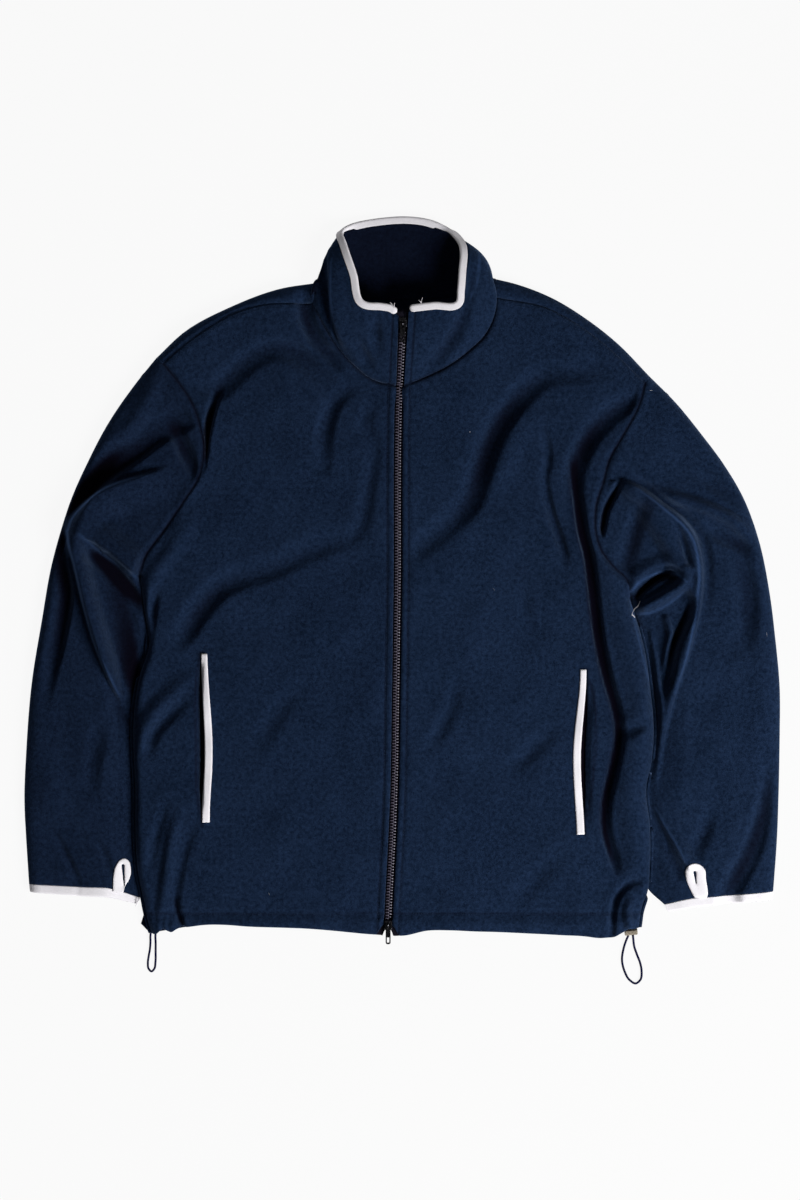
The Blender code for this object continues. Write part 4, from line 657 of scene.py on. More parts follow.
def frontPlan(side):
    sign = outwards[side]
    outer = offsetLine(edgeOf[side], sign * seam["gap"] / 2)
    last = len(outer) - 1
    underarmY = edgeOf[side][underarm, 1]
    hemY = hemEdge[side][-1][1]
    levels = np.array(sideLevels[side], float)
    lower = hemY + (levels - levels[0]) * (underarmY - hemY) / (underarmY - levels[0])
    upper = np.linspace(underarmY, neckSeam[side][0][1], zipRowCount - underarm + 1)[1:]
    zipY = np.concatenate([lower, upper])
    zipEdge = np.column_stack([xAt(zipLine, zipY) + sign * zipParts["gap"] / 2, zipY])
    neck = along(neckSeam[side], np.linspace(0, 1, neckRows + 1))
    inner = np.vstack([zipEdge, neck[1:]])
    guideRows = sorted(pocketLine[side])
    guide = hermite(guideRows, [pocketLine[side][row] for row in guideRows], np.arange(last + 1))
    grid = np.zeros((last + 1, 17, 2))
    for i in range(last + 1):
        first = np.linalg.norm(guide[i] - outer[i])
        second = np.linalg.norm(inner[i] - guide[i])
        opened = (i - pocketRows[0]) / (pocketRows[1] - pocketRows[0])
        mouth = 1.0 + (pocket["mouth"] - 1.0) * math.sin(math.pi * min(max(opened, 0), 1))
        inside = first - mouth
        level = edgeInsets[-1]
        places = edgeInsets + [level + (inside - level) * k / 3 for k in (1, 2)] + [inside]
        places += [first + (second - facingWide) * k / 8 for k in range(9)] + [first + second]
        grid[i] = hermite([0, first, first + second], [outer[i], guide[i], inner[i]], places)
    pulls = (((0, hemEdge), (1.0, 0.5)), ((last, shoulderSeam), (1.0, 0.75, 0.4, 0.15)))
    for (row, line), parts in pulls:    # the ends follow the hem and the shoulder seam
        moved = along(line[side], shares(grid[row])) - grid[row]
        for k, part in enumerate(parts):
            grid[row + k if row == 0 else row - k, 1:-1] += part * moved[1:-1]
    return grid


frontRowPlaces = stationsOf([[0.05, 0.12, 0.25, 0.5, 0.75, 1]] + [4] + [8] * 16 + [7] * 18)
frontColumnPlaces = stationsOf([[0.05, 0.2, 0.55, 1], 2, 4, 9, 9, 9, 2] + [8] * 8
                               + [[0.22, 0.38, 0.46, 0.52, 0.58, 0.66, 0.78, 0.88, 0.94, 0.98, 1]])


hem = {"notch": 11.0, "notchWide": 9.0, "gatherTall": 26.0,   # place, depth, width of a gather
       "gathers": {"right": [(-267, -2.2, 3), (-258.8, 3.2, 3), (-249.5, -2.6, 4), (-238, 2.0, 3)],
                   "left": [(228, -1.5, 5), (244, 1.5, 4)]}}


def frontSurface(side):
    grid = raiseGrid("body", refine(frontPlan(side), frontRowPlaces, frontColumnPlaces))
    y = grid[..., 1]
    sign = outwards[side]
    inside = sign * (grid[..., 0] - xAt(zipLine, y.ravel()).reshape(y.shape)) - zipParts["gap"] / 2
    facing = ease((neckSeam[side][0][1] + 2 - y) / 4)       # turned edge and its stitch line
    stitch = stitchLine["depth"] * bell(inside - zipParts["stitch"], stitchLine["wide"])
    puffed = stitchLine["puff"] * bell(inside - zipParts["stitch"] / 2, stitchLine["puffWide"])
    edge = turnedEdge["depth"] * (1 - roll(np.maximum(inside, 0), turnedEdge["reach"]))
    grid[..., 2] += facing * (puffed - stitch - edge)
    fromHem = rise(grid)
    grid[..., 2] -= turnedEdge["depth"] * (1 - roll(fromHem, turnedEdge["reach"]))
    lift = hem["notch"] * ease(1 - np.maximum(inside, 0) / hem["notchWide"])
    for x, deep, wide in hem["gathers"][side]:
        lift = lift + deep * bell(grid[..., 0] - x, wide)
    grid[..., 1] += lift * ease(1 - fromHem / hem["gatherTall"])
    return grid


front = {side: frontSurface(side) for side in sides}


def frontHoles():                       # the cells that the pocket mouth leaves open
    rows = [i for i in range(len(frontRowPlaces) - 1)
            if pocketRows[0] <= frontRowPlaces[i] < pocketRows[1] - 1e-6]
    columns = [j for j in range(len(frontColumnPlaces) - 1)
               if mouthColumn <= frontColumnPlaces[j] < mouthColumn + 1 - 1e-6]
    return {(i, j) for i in rows for j in columns}


sideDrop = {"least": 0.3, "more": 1.7}


def addSideDrop(grid):                  # below the underarm the side's edge goes further down
    drop = ease((underarm + 1 - frontRowPlaces) / 2)
    first = grid[:, :1].copy()
    first[:, 0, 2] -= sideDrop["least"] + sideDrop["more"] * drop
    return np.concatenate([first, grid], axis=1)


def makeFronts():
    made = {}
    for side in sides:
        grid = addSideDrop(front[side])
        holes = {(i, j + 1) for i, j in frontHoles()}
        made[side] = clothWall(side + "Front", grid, cloth["fleece"], side == "right", holes)
        paintShadeAndRims(made[side], "body")
    return made


# a sleeve is one piece: upper layer, outer fold and under layer
cuffEdge = {                # edge of the sleeve cloth, outer fold to inner fold
    "right": [(-404, -329), (-344, -332), (-313, -334), (-301, -338), (-284, -344)],
    "left": [(401, -337), (328, -343), (314, -344), (283, -351)],
}
cuffTurn = {"depth": 0.9, "reach": 2.0, "lowest": 0.1}


def upperPlaces(width):                 # columns across a sleeve, as shares of its width
    scale = min(1.0, width / 80) / max(width, 1e-6)
    near = np.array(edgeInsets) * scale
    middle = near[-1] + (1 - 2 * near[-1]) * np.arange(1, 8) / 8
    return np.concatenate([near, middle, 1 - near[::-1]])


def sleevePlan(side):
    fold = along(sleeveFold[side], np.linspace(0, 1, 400))
    down = np.interp(20, -fold[:, 1], np.linspace(0, 1, 400))
    levels = np.concatenate([np.linspace(0, down, armholeRows + 2),
                             np.linspace(down, 1, cuffRows + 1)[1:]])
    outer = along(sleeveFold[side], levels)
    body = offsetLine(edgeOf[side], -outwards[side] * seam["gap"] / 2)[::-1]
    run = np.array(shoulderFold[side][1], float) - shoulderFold[side][0]
    corner = seam["corner"] * run / np.linalg.norm(run)
    outer[0] += corner
    inner = np.vstack([outer[:1], body[:armholeRows + cuffRows], [cuffEdge[side][-1]]])
    inner[1] += corner
    if side == "left":                  # the cuff's inner end stands clear of the body
        inner[-2] = lie["cuffLeaves"]
    grid = []
    for i in range(len(outer)):
        places = upperPlaces(np.linalg.norm(inner[i] - outer[i]))
        if i == len(outer) - 1:
            grid.append(along(cuffEdge[side], places))
        else:
            grid.append(outer[i] + places[:, None] * (inner[i] - outer[i]))
    return np.array(grid)


sleeveRowPlaces = stationsOf([4] + [8] * armholeRows + [12] * 7 + [7] * (cuffRows - 8)
                              + [[0.2, 0.4, 0.6, 0.75, 0.88, 0.95, 1]])
sleeveColumnPlaces = stationsOf([[0.05, 0.2, 0.55, 1], 2, 4] + [10] * 8
                                + [4, 2, [0.45, 0.8, 0.95, 1]])


def sleeveSurface(side):
    upper = raiseGrid("sleeve", refine(sleevePlan(side), sleeveRowPlaces, sleeveColumnPlaces))
    fromCuff = rise(upper[::-1])[::-1]
    turned = cuffTurn["depth"] * (1 - roll(fromCuff, cuffTurn["reach"]))
    upper[..., 2] = np.maximum(upper[..., 2] - turned, cuffTurn["lowest"])
    outer, inner = upper[:, 0], upper[:, -1]
    run = inner - outer
    run[:, 2] = 0
    width = np.linalg.norm(run, axis=1)
    run /= np.maximum(width, 1e-6)[:, None]
    small = np.minimum(1, width / 24)                       # where the sleeve is narrow
    closed = ease((sleeveRowPlaces - armholeRows - 0.5) / 1.5)      # below the underarm
    lowOuter, lowInner = outer * (1, 1, 0), inner * (1, 1, 0)
    rows = [upper[:, ::-1]]
    for inset, z in underRoll:
        rows.append((lowOuter + run * (inset * small)[:, None] + (0, 0, z))[:, None])
    for share in np.linspace(0, 1, 16)[1:-1]:
        rows.append((lowOuter + run * (share * width)[:, None])[:, None])
    for inset, z in underRoll[::-1] + ((0.0, 3.4),):
        move = inset * small * closed
        rows.append((lowInner - run * move[:, None] + np.outer(closed, (0, 0, z)))[:, None])
    return np.concatenate(rows, axis=1), upper


sleeve, sleeveTop = {}, {}
for side in sides:
    sleeve[side], sleeveTop[side] = sleeveSurface(side)


def tuckTip(piece, side):               # at the shoulder the wall keeps inside the outer fold
    points = pointsOf(piece)
    fold = along(sleeveFold[side], dense)
    near = np.flatnonzero(np.linalg.norm(points[:, :2] - fold[0], axis=1) < lie["tipReach"])
    _, past, share = fromLine(fold, points[near, :2])
    out = past * outwards[side] > 0
    points[near[out], :2] = along(sleeveFold[side], share[out])
    piece.data.vertices.foreach_set("co", (points * mm).ravel())


def makeSleeves():
    made = {}
    for side in sides:
        made[side] = clothWall(side + "Sleeve", sleeve[side], cloth["sleeve"], side == "right")
        tuckTip(made[side], side)
        paintShadeAndRims(made[side], "sleeve")
    return made


# the back turns over the shoulders to the front seams
backNeck = [(-84, 312), (-46, 306), (1, 304), (46, 306), (88, 315)]
backHem = [(-276, -381), (-200, -371), (0, -372), (200, -371), (255, -373)]
peep = {"y": -371.0, "out": 8.0, "tall": 8.0}     # the back's corner shows beside the front
wrapRoll = ((7, 0), (4.6, 0.04), (2.8, 0.25), (1.4, 0.7), (0.5, 1.7), (0.05, 3.0))


def coons(bottom, top, left, right):    # a grid of points spanned between four edges
    s = np.linspace(0, 1, len(bottom))[None, :, None]
    t = np.linspace(0, 1, len(left))[:, None, None]
    corners = ((1 - s) * (1 - t) * bottom[0] + s * (1 - t) * bottom[-1]
               + (1 - s) * t * top[0] + s * t * top[-1])
    return ((1 - s) * left[:, None] + s * right[:, None]
            + (1 - t) * bottom[None] + t * top[None] - corners)


def shoulderWrap(side, plan):           # rows from the floor over the fold to the seam
    fold = along(shoulderFold[side], shares(plan))
    run = plan - fold
    depth = np.linalg.norm(run, axis=1)[:, None]
    run = run / np.maximum(depth, 1e-6)
    rows = [np.column_stack([fold + np.minimum(inset, depth) * run, np.full(len(fold), z)])
            for inset, z in wrapRoll]
    for k in range(15):
        rows.append(clothTop("body", fold + (k / 14) ** 2 * (depth - seam["gap"]) * run))
    return np.array(rows)


wrapColumns = slice(None, None, 3)


def backSurface():
    wraps = {side: shoulderWrap(side, front[side][-1, wrapColumns, :2]) for side in sides}
    left = offsetLine(edgeOf["right"], outwards["right"] * seam["gap"] / 2)
    right = offsetLine(edgeOf["left"], outwards["left"] * seam["gap"] / 2)
    left[:, 0] -= peep["out"] * bell(left[:, 1] - peep["y"], peep["tall"])
    start, end = wraps["right"][0][-1, :2], wraps["left"][0][-1, :2]
    neck = along(np.array([start] + backNeck[1:-1] + [end]), np.linspace(0, 1, 19))
    top = np.vstack([wraps["right"][0][:, :2], neck[1:-1], wraps["left"][0][::-1, :2]])
    top[0], top[-1] = left[-1], right[-1]
    hem = along([left[0]] + backHem[1:-1] + [right[0]], np.linspace(0, 1, len(top)))
    grid = coons(hem, top, left, right)
    for k in range(1, 8):               # no column folds over the armholes' inward curve
        grid[:-1, k, 0] = np.maximum(grid[:-1, k, 0], left[:-1, 0] + 0.6 * k)
        grid[:-1, -1 - k, 0] = np.minimum(grid[:-1, -1 - k, 0], right[:-1, 0] - 0.6 * k)
    grid = list(np.dstack([grid, np.zeros(grid.shape[:2])]))
    width = wraps["right"].shape[1]
    holes = set()
    for k in range(1, len(wraps["right"])):
        row = np.zeros((len(top), 3))
        row[:width] = wraps["right"][k]
        row[-width:] = wraps["left"][k][::-1]
        row[width:-width] = grid[-1][width:-width]
        grid.append(row)
        holes |= {(len(grid) - 2, j) for j in range(width - 1, len(top) - width)}
    return np.array(grid), holes, neck


backGrid, backHoles, backNeckLine = backSurface()


binding = {"wide": 8.0, "collarThick": 4.4, "cuffThick": 3.4, "endRound": 4.0,
           "endNarrow": 0.2, "sewnIn": 0.45, "overCuff": 0.9}
# insideShade, shadeFrom, darkest, footShade and stitchShade set painted shade: inside the collar,
# in its creases, at its foot and along its stitch lines
collar = {"gap": 0.3, "backGap": -1.4, "shoulderGap": 1.8, "evenings": 6, "turn": 5,
          "creasedOver": 6.0, "insideShade": 0.72, "shadeFrom": (1.0, 11.0), "darkest": 0.38,
          "footShade": 0.5, "stitchShade": 0.5}
# column of the collar's edge: x, y, z, then how the wall below it bulges
collarRim = [
    (0, -4.2, 290.5, 39.5, 0, 0, 4),
    (1, -12.5, 295.3, 40, 0, 0, 4),
    (2, -22, 297, 40, 0, 0, 4),
    (4, -43, 301, 40, -2, 0, 4),
    (6, -49, 328, 37, -7, -1, 5),
    (8, -57, 352, 30, -7, 0, 5),
    (9, -61, 364, 24, -6, 2, 3),
    (11, -65, 376, 14, -4, 3, 0),
    (14, -50, 387, 4.5, 0, 0, 0),
    (17, 4, 393, 3.8, 0, 0, 0),
    (20, 44, 384, 9, 0, 0, 0),
    (22, 57, 369, 19, 8, 5, 0),
    (25, 62, 351, 31, 8, 2, 5),
    (27, 60.5, 332, 37, 6, -1, 6),
    (29, 59, 311, 40, 4, -1, 6),
    (30, 58, 299.5, 41, 3, 0, 5),
    (32, 34, 298, 41, 0, 0, 4),
    (34, 7, 295, 40, 0, 0, 4),
]


def neckEndColumn(side):                # where the back's fold meets the collar, seam to floor
    seamEnd, foldEnd = (np.array(line[side][-1], float) for line in (shoulderSeam, shoulderFold))
    run = seamEnd - foldEnd
    depth = np.linalg.norm(run)
    run /= depth
    low = [(*(foldEnd + inset * run), z)
           for inset, z in ((7.0, 0.0), (1.4, 0.7), (0.0, lie["rolledEdge"]))]
    high = clothTop("body", [foldEnd + 0.2 * depth * run, foldEnd + 0.5 * depth * run,
                             seamEnd - collar["shoulderGap"] * run])
    return np.vstack([low, high])[::-1]


def evened(rows):                       # outward directions, evened along the collar
    facing = np.cross(np.gradient(rows, axis=0), np.gradient(rows, axis=1))
    for _ in range(collar["evenings"]):
        facing /= np.maximum(np.linalg.norm(facing, axis=2), 1e-9)[:, :, None]
        facing[:, 1:-1] += (facing[:, :-2] + facing[:, 2:]) / 2
    return unit(facing)


def collarFrame(columnPlaces):          # its foot, its upper edge, and how it bulges between
    ends = {}
    for side in sides:
        arc = clothTop("body", along(neckSeam[side], np.linspace(0, 1, neckRows + 1)))
        ends[side] = np.vstack([arc, neckEndColumn(side)[1:]])
    backPoints = along(backNeckLine, np.linspace(0, 1, 7))[1:-1]
    backPoints = np.column_stack([backPoints, np.zeros(5)])
    base = np.vstack([ends["right"], backPoints, ends["left"][::-1]])
    count = len(base)
    columns = [row[0] for row in collarRim]
    rim = hermite(columns, [row[1:4] for row in collarRim], np.arange(count))
    away = unit(rim - base)
    turn = collar["turn"]               # columns at each shoulder that lean to the middle
    away[neckRows:neckRows + turn] = (0.95, 0.3, 0)
    away[-neckRows - turn:-neckRows] = (-0.95, 0.3, 0)
    gaps = np.full((count, 1), collar["gap"])
    gaps[len(ends["right"]) - 1:1 - len(ends["left"])] = collar["backGap"]
    base = hermite(np.arange(count), base + gaps * away, columnPlaces)
    rim = hermite(columns, [row[1:4] for row in collarRim], columnPlaces)
    bulge = hermite(columns, [row[4:7] for row in collarRim], columnPlaces)
    return base, rim, bulge


def collarCloth(base, rim, bulge):
    run = unit(np.gradient(rim, axis=0))
    length = np.linalg.norm(rim - base, axis=1)[:, None]
    slant = np.linalg.norm(np.cross(run, (rim - base) / length), axis=1)[:, None]
    top = 1 - binding["wide"] * 0.8 / (length * np.maximum(slant, 0.5))
    rows = []
    for share in clothShares:
        t = share * top
        rows.append(base + t * (rim - base) + 4 * t * (1 - t) * bulge)
    rows = np.array(rows)
    facing = evened(rows)
    shift = np.array([creaseHeight("collar", row[:, :2]) for row in rows])
    shift *= np.sqrt(np.sin(np.pi * np.array(clothShares)))[:, None]
    shift *= rows[..., 2] > collar["creasedOver"]
    # painted shade in the collar's creases, at its foot and along the stitch lines
    low, high = collar["shadeFrom"]
    dark = collar["darkest"] * ease((-shift - low) / (high - low))
    dark[0] = collar["footShade"]
    passed = rise(rows.transpose(1, 0, 2)).T
    for inside in (passed, passed[:, -1:] - passed):        # stitch line beside the zip
        line = bell(inside - zipParts["stitch"], stitchLine["collarWide"])
        shift -= stitchLine["depth"] * line
        dark = np.maximum(dark, collar["stitchShade"] * line)
    return rows + shift[..., None] * facing, facing, dark


def collarBandRows(base, rim, bulge):   # the binding runs square to the collar's edge
    run = np.gradient(rim, axis=0)
    for _ in range(4):
        run[1:-1] = (run[:-2] + 2 * run[1:-1] + run[2:]) / 4
    run = unit(run)
    down = base - rim + 4 * bulge
    down = unit(down - (down * run).sum(axis=1)[:, None] * run)
    passed = lengths(rim)
    end = roll(np.minimum(passed, passed[-1] - passed), binding["endRound"])[:, None]
    end = np.maximum(end, binding["endNarrow"])
    rows = np.array([rim + binding["wide"] * (0.5 + (share - 0.5) * end) * down
                     for share in bandShares])
    return rows, evened(rows), end[:, 0]


stitchedCell = [0.04, 0.12, 0.24, 0.34, 0.4, 0.45, 0.5, 0.55, 0.6, 0.66, 0.76, 0.88, 1]
collarColumnPlaces = stationsOf([stitchedCell] + [6] * 32
                                + [[1 - share for share in stitchedCell[-2::-1]] + [1]])
clothShares = [k / 26 for k in range(27)]
bandShares = (1.0, 0.97, 0.9, 0.75, 0.55, 0.38, 0.24, 0.14, 0.07, 0.02, 0)
collarLines = collarFrame(collarColumnPlaces)
collarWall, clothFacing, collarPaintedShade = collarCloth(*collarLines)
collarBand, bandFacing, bandEnds = collarBandRows(*collarLines)
collarGrid = np.concatenate([collarWall, collarBand])
collarFacing = np.concatenate([clothFacing, bandFacing])


def foldedBand(name, rows, facing, middle, thick, closed=False, flip=False, ends=1.0):
    # rows run from the sewn edge to the folded one; the middle lies that far below them
    away = sums(np.linalg.norm(np.diff(rows[::-1], axis=0), axis=2).mean(axis=1))[::-1]
    swell = thick / 2 * roll(away, thick / 2)
    swell[0] -= binding["sewnIn"]
    swell = (swell[:, None] * ends)[..., None]
    outer = rows + (swell - middle) * facing
    inner = rows - (swell + middle) * facing
    return skin(name, np.concatenate([outer, inner[::-1]]), closedColumns=closed, flip=flip)


def makeCollar():
    inner = collarWall - cloth["collar"] * clothFacing
    piece = skin("standCollar", np.concatenate([collarWall, inner[::-1]]), flip=True)
    points = pointsOf(piece)
    found = []
    for layer in (collarWall, inner):
        tree = KDTree(collarPaintedShade.size)
        for k, point in enumerate(layer.reshape(-1, 3)):
            tree.insert(point, k)
        tree.balance()
        found.append(np.array([tree.find(point)[1:] for point in points]))
    # painted shadow over the collar's inside, painted shade in its creases, painted highlight along
    # its rims
    inwards = found[1][:, 1] < found[0][:, 1]
    dark = collarPaintedShade.flat[found[0][:, 0].astype(int)]
    shade(piece, np.where(inwards, 0, paintedRimLightAndShade("collar", points[:, :2])[0]), "rim")
    shade(piece, np.maximum(dark, collar["insideShade"] * inwards))
    band = foldedBand("collarBinding", collarBand, bandFacing, cloth["collar"] / 2,
                      binding["collarThick"], flip=True, ends=bandEnds)
    return piece, band


cuffBindingEdge = {   # lower edge of the cuff binding, outer fold to inner fold
    "right": [(-403, -338), (-344, -342), (-310, -345), (-303, -347), (-287, -351)],
    "left": [(400, -346), (317, -354), (287, -359)],
}
cuffShares = (0.02, 0.06, 0.15, 0.35, 0.6, 0.78, 0.9, 0.97, 1.0)
cuffRoll = np.array([0.35, 1.4, 3.6])   # insets where the binding rolls under, 2 and 0.6 high


def ringNormals(rows):                  # of a closed ring of columns
    wide = np.concatenate([rows[:, -2:], rows, rows[:, :2]], axis=1)
    facing = np.cross(np.gradient(wide, axis=0), np.gradient(wide, axis=1))[:, 2:-2]
    for _ in range(4):
        facing /= np.maximum(np.linalg.norm(facing, axis=2), 1e-9)[:, :, None]
        facing = facing + 0.5 * (np.roll(facing, 1, axis=1) + np.roll(facing, -1, axis=1))
    return unit(facing)


def makeCuff(side):
    last = sleeveTop[side][-1]
    low = along(cuffBindingEdge[side], shares(last[:, :2]))
    rows = []
    for t in cuffShares:
        plan = last[:, :2] + t * (low - last[:, :2])
        top = np.column_stack([plan, last[:, 2] + binding["overCuff"]])
        run = plan[-1] - plan[0]
        reach = np.linalg.norm(run)
        flat = np.linspace(cuffRoll[-1], reach - cuffRoll[-1], 16)[1:-1]
        insets = np.concatenate([cuffRoll, flat, reach - cuffRoll[::-1]])[::-1]
        travelled = np.linalg.norm(plan - plan[0], axis=1)
        under = np.column_stack([np.interp(insets, travelled, plan[:, 0]),
                                 np.interp(insets, travelled, plan[:, 1]), np.zeros(len(insets))])
        under[[0, -1], 2] = 2.0
        under[[1, -2], 2] = 0.6
        rows.append(np.vstack([top, under]))
    rows = np.array(rows)
    facing = ringNormals(rows)
    if facing[4, 30, 2] < 0:
        facing = -facing
    thick = binding["cuffThick"]
    return foldedBand(side + "CuffBinding", rows, facing, thick / 2, thick, closed=True,
                      flip=side == "right")


thumb = {"slit": (0.5, 1.5), "thick": 1.8, "flat": 0.35, "over": 0.3,
         "shares": (0, 0.06, 0.18, 0.35, 0.5, 0.65, 0.82, 0.94, 1)}
thumbLoopOutline = {                    # outline, then the slit's two ends
    "right": ([(-312.8, -337), (-311.8, -317), (-309, -308), (-305, -303), (-300.8, -301.3),
               (-296.1, -304.3), (-294, -311), (-293.8, -317.5), (-296.1, -325), (-300, -331.5),
               (-302.5, -338.5)], ((-300.8, -331), (-302.2, -309))),
    "left": ([(315.4, -343.5), (310.3, -334), (306.4, -323.7), (305.3, -316), (307.7, -309.5),
              (314, -306.4), (321.8, -308.2), (326.5, -313.4), (327.5, -322.4), (327.5, -344)],
             ((316.8, -327.5), (315.5, -316))),
}


def makeThumbLoop(side):
    outline, (low, high) = thumbLoopOutline[side]
    outline = np.array(outline, float)
    edge = along(np.vstack([outline, outline[:1]]), np.linspace(0, 1, 61)[:-1])
    low, high = np.array(low, float), np.array(high, float)
    share = np.clip((edge - low) @ (high - low) / np.dot(high - low, high - low), 0, 1)
    centre = low + share[:, None] * (high - low)
    wide = thumb["slit"][0] + share[:, None] * (thumb["slit"][1] - thumb["slit"][0])
    slit = centre + wide * unit(edge - centre)
    top, bottom = [], []
    for t in thumb["shares"]:
        plan = slit + t * (edge - slit)
        floor = clothTop("sleeve", plan)[:, 2] + thumb["over"]
        crown = thumb["flat"] + (1 - thumb["flat"]) * math.sqrt(max(0.0, 1 - abs(2 * t - 1) ** 3))
        top.append(np.column_stack([plan, floor + thumb["thick"] * crown]))
        bottom.append(np.column_stack([plan, floor]))
    return skin(side + "ThumbLoop", np.array(top + bottom[::-1]), closedColumns=True)


pocketPlaces = np.linspace(pocketRows[0], pocketRows[1], 81)


def pocketLines(side):                  # plan of the mouth's back edge, front edge and beyond
    grid = refine(frontPlan(side), pocketPlaces, np.array([5.0, 6.0, 7.0, 8.0]))
    return [grid[:, k] for k in range(4)]


def stepOver(start, towards, distance):
    return start + distance * unit(towards - start)


def makePocket(side):
    near, edge, guide, beyond = pocketLines(side)
    top, bottom = [], []
    upper = (np.linspace(0, 1, len(guide)) - pocket["narrowFrom"]) / (1 - pocket["narrowFrom"])
    taper = (1 - pocket["narrow"] * ease(upper))[:, None]   # narrower towards its upper end
    first, last = pocket["weltPlaces"][0], pocket["weltPlaces"][-1]
    for wide in pocket["weltPlaces"]:
        plan = stepOver(guide, beyond, wide * taper)
        floor = clothTop("body", plan)[:, 2]
        crown = roll(np.array([min(wide - first, last - wide)]), pocket["weltRound"])[0]
        down = pocket["weltSunk"] if wide < 0.05 else pocket["weltUnder"]
        top.append(np.column_stack([plan, floor + pocket["weltThick"] * crown - 0.1]))
        bottom.append(np.column_stack([plan, floor - down]))
    welt = skin(side + "PocketBinding", np.array(top + bottom[::-1]), flip=side == "right")
    rows = [stepOver(edge, near, pocket["lap"]), stepOver(edge, near, 1), edge, guide,
            stepOver(guide, beyond, 6)]
    grid = np.array([clothTop("body", row) for row in rows]).transpose(1, 0, 2)
    grid[..., 2] -= cloth["fleece"] + pocket["liningDown"]
    lining = clothWall(side + "PocketLining", grid, pocket["liningThick"], side == "right")
    # painted shade over the lining seen in the pocket's mouth
    shade(lining, np.full(len(lining.data.vertices), pocket["liningShade"]))
    return welt, lining


# rows of the collar that the tapes run behind, and how far behind the collar's cloth
tapeRows = [(0, 1.2), (5, 0.9), (10, 0.9), (15, 0.9), (20, 0.9), (26, 0.9), (29, 1.5), (-1, 1.5)]


def zipRows():                          # each side's edge and a point further in, hem to collar
    rows = {"right": [], "left": []}
    sink = cloth["fleece"] + zipParts["tapeDown"]
    for side in sides:
        plan = frontPlan(side)[:zipRowCount + 1, -2:]
        lifted = raiseGrid("body", plan)
        for inner, edge in lifted:
            across = zipParts["tape"] / np.linalg.norm((inner - edge)[:2]) * (inner - edge)
            rows[side].append((edge - (0, 0, sink), edge + across - (0, 0, sink)))
        columns = (0, 6) if side == "right" else (-1, -7)
        for row, behind in tapeRows:
            depth = cloth["collar"] + behind
            edge, inner = (collarGrid[row, j] - depth * collarFacing[row, j] for j in columns)
            rows[side].append((edge, edge + 0.8 * (inner - edge)))
    return {side: np.array(rows[side]) for side in sides}


zipEdges = zipRows()
zipMiddle = (zipEdges["right"][:, 0] + zipEdges["left"][:, 0]) / 2
zipMiddle[:, 2] = np.minimum(zipEdges["right"][:, 0, 2], zipEdges["left"][:, 0, 2])


def onZip(heights):
    heights = np.asarray(heights, float)
    return np.column_stack([np.interp(heights, zipMiddle[:, 1], zipMiddle[:, k]) for k in range(3)])


def makeTape(side):
    sign = outwards[side]
    at = np.linspace(0, 1, 181)
    middle = along(zipMiddle, at)
    edge, inner = along(zipEdges[side][:, 0], at), along(zipEdges[side][:, 1], at)
    edge[:, 2] = middle[:, 2]
    splay = zipParts["splay"] * ease((zipParts["splayFrom"] - middle[:, 1]) / zipParts["splaySpan"])
    near = middle + (sign * zipParts["tapeInset"], 0, 0)
    near[:, 0] += sign * splay          # the two tapes part below the bottom slider
    edge[:, 0] += sign * splay / 2
    grid = np.stack([near, (near + edge) / 2, edge, (edge + inner) / 2, inner], axis=1)
    return clothWall(side + "ZipTape", grid, zipParts["tapeThick"], side == "left")


def repeated(name, template, places):   # one mesh of many copies, each at its own place
    count = len(template.data.vertices)
    local = np.array([v.co for v in template.data.vertices])
    faces = [tuple(p.vertices) for p in template.data.polygons]
    points = np.vstack([local @ turn.T + spot * mm for spot, turn in places])
    data = bpy.data.meshes.new(name)
    data.from_pydata(points.tolist(), [], [tuple(v + k * count for v in face)
                                           for k in range(len(places)) for face in faces])
    data.polygons.foreach_set("use_smooth", [True] * len(data.polygons))
    piece = bpy.data.objects.new(name, data)
    bpy.context.scene.collection.objects.link(piece)
    return piece


def startShape(kind, **values):
    bpy.ops.object.select_all(action="DESELECT")
    getattr(bpy.ops.mesh, kind)(**values)
    shape = bpy.context.object
    bpy.ops.object.transform_apply(location=True, rotation=True, scale=True)
    return shape


# in millimetres from the zip's middle: size, then the places of the neck, head, tip and foot
tooth = {"size": (3.6, 1.6, 1.9), "x": -0.25, "z": 1.15, "neck": 0.1, "head": 0.9, "tip": 1.5,
         "foot": -1.5, "neckWide": 0.72, "tipWide": 0.62, "tipTall": 0.8, "footTall": 0.75,
         "bevel": 0.22}


def toothShape():                       # a moulded tooth: foot on the tape, neck, wider head
    middle = tooth["z"] * mm
    shape = startShape("primitive_cube_add", size=1, location=(tooth["x"] * mm, 0, middle),
                       scale=[size * mm for size in tooth["size"]])
    bpy.ops.object.mode_set(mode="EDIT")
    mesh = bmesh.from_edit_mesh(shape.data)
    for part in ("neck", "head"):
        bmesh.ops.bisect_plane(mesh, geom=mesh.verts[:] + mesh.edges[:] + mesh.faces[:],
                               plane_co=(tooth[part] * mm, 0, 0), plane_no=(1, 0, 0))
    for v in mesh.verts:
        if abs(v.co.x - tooth["neck"] * mm) < 1e-6:
            v.co.y *= tooth["neckWide"]
        if v.co.x > tooth["tip"] * mm:
            v.co.y *= tooth["tipWide"]
            v.co.z = middle + (v.co.z - middle) * tooth["tipTall"]
        if v.co.x < tooth["foot"] * mm:
            v.co.z = middle + (v.co.z - middle) * tooth["footTall"]
    bmesh.update_edit_mesh(shape.data)
    bpy.ops.mesh.select_all(action="SELECT")
    bpy.ops.mesh.bevel(offset=tooth["bevel"] * mm, segments=1, affect="EDGES")
    bpy.ops.object.mode_set(mode="OBJECT")
    return shape


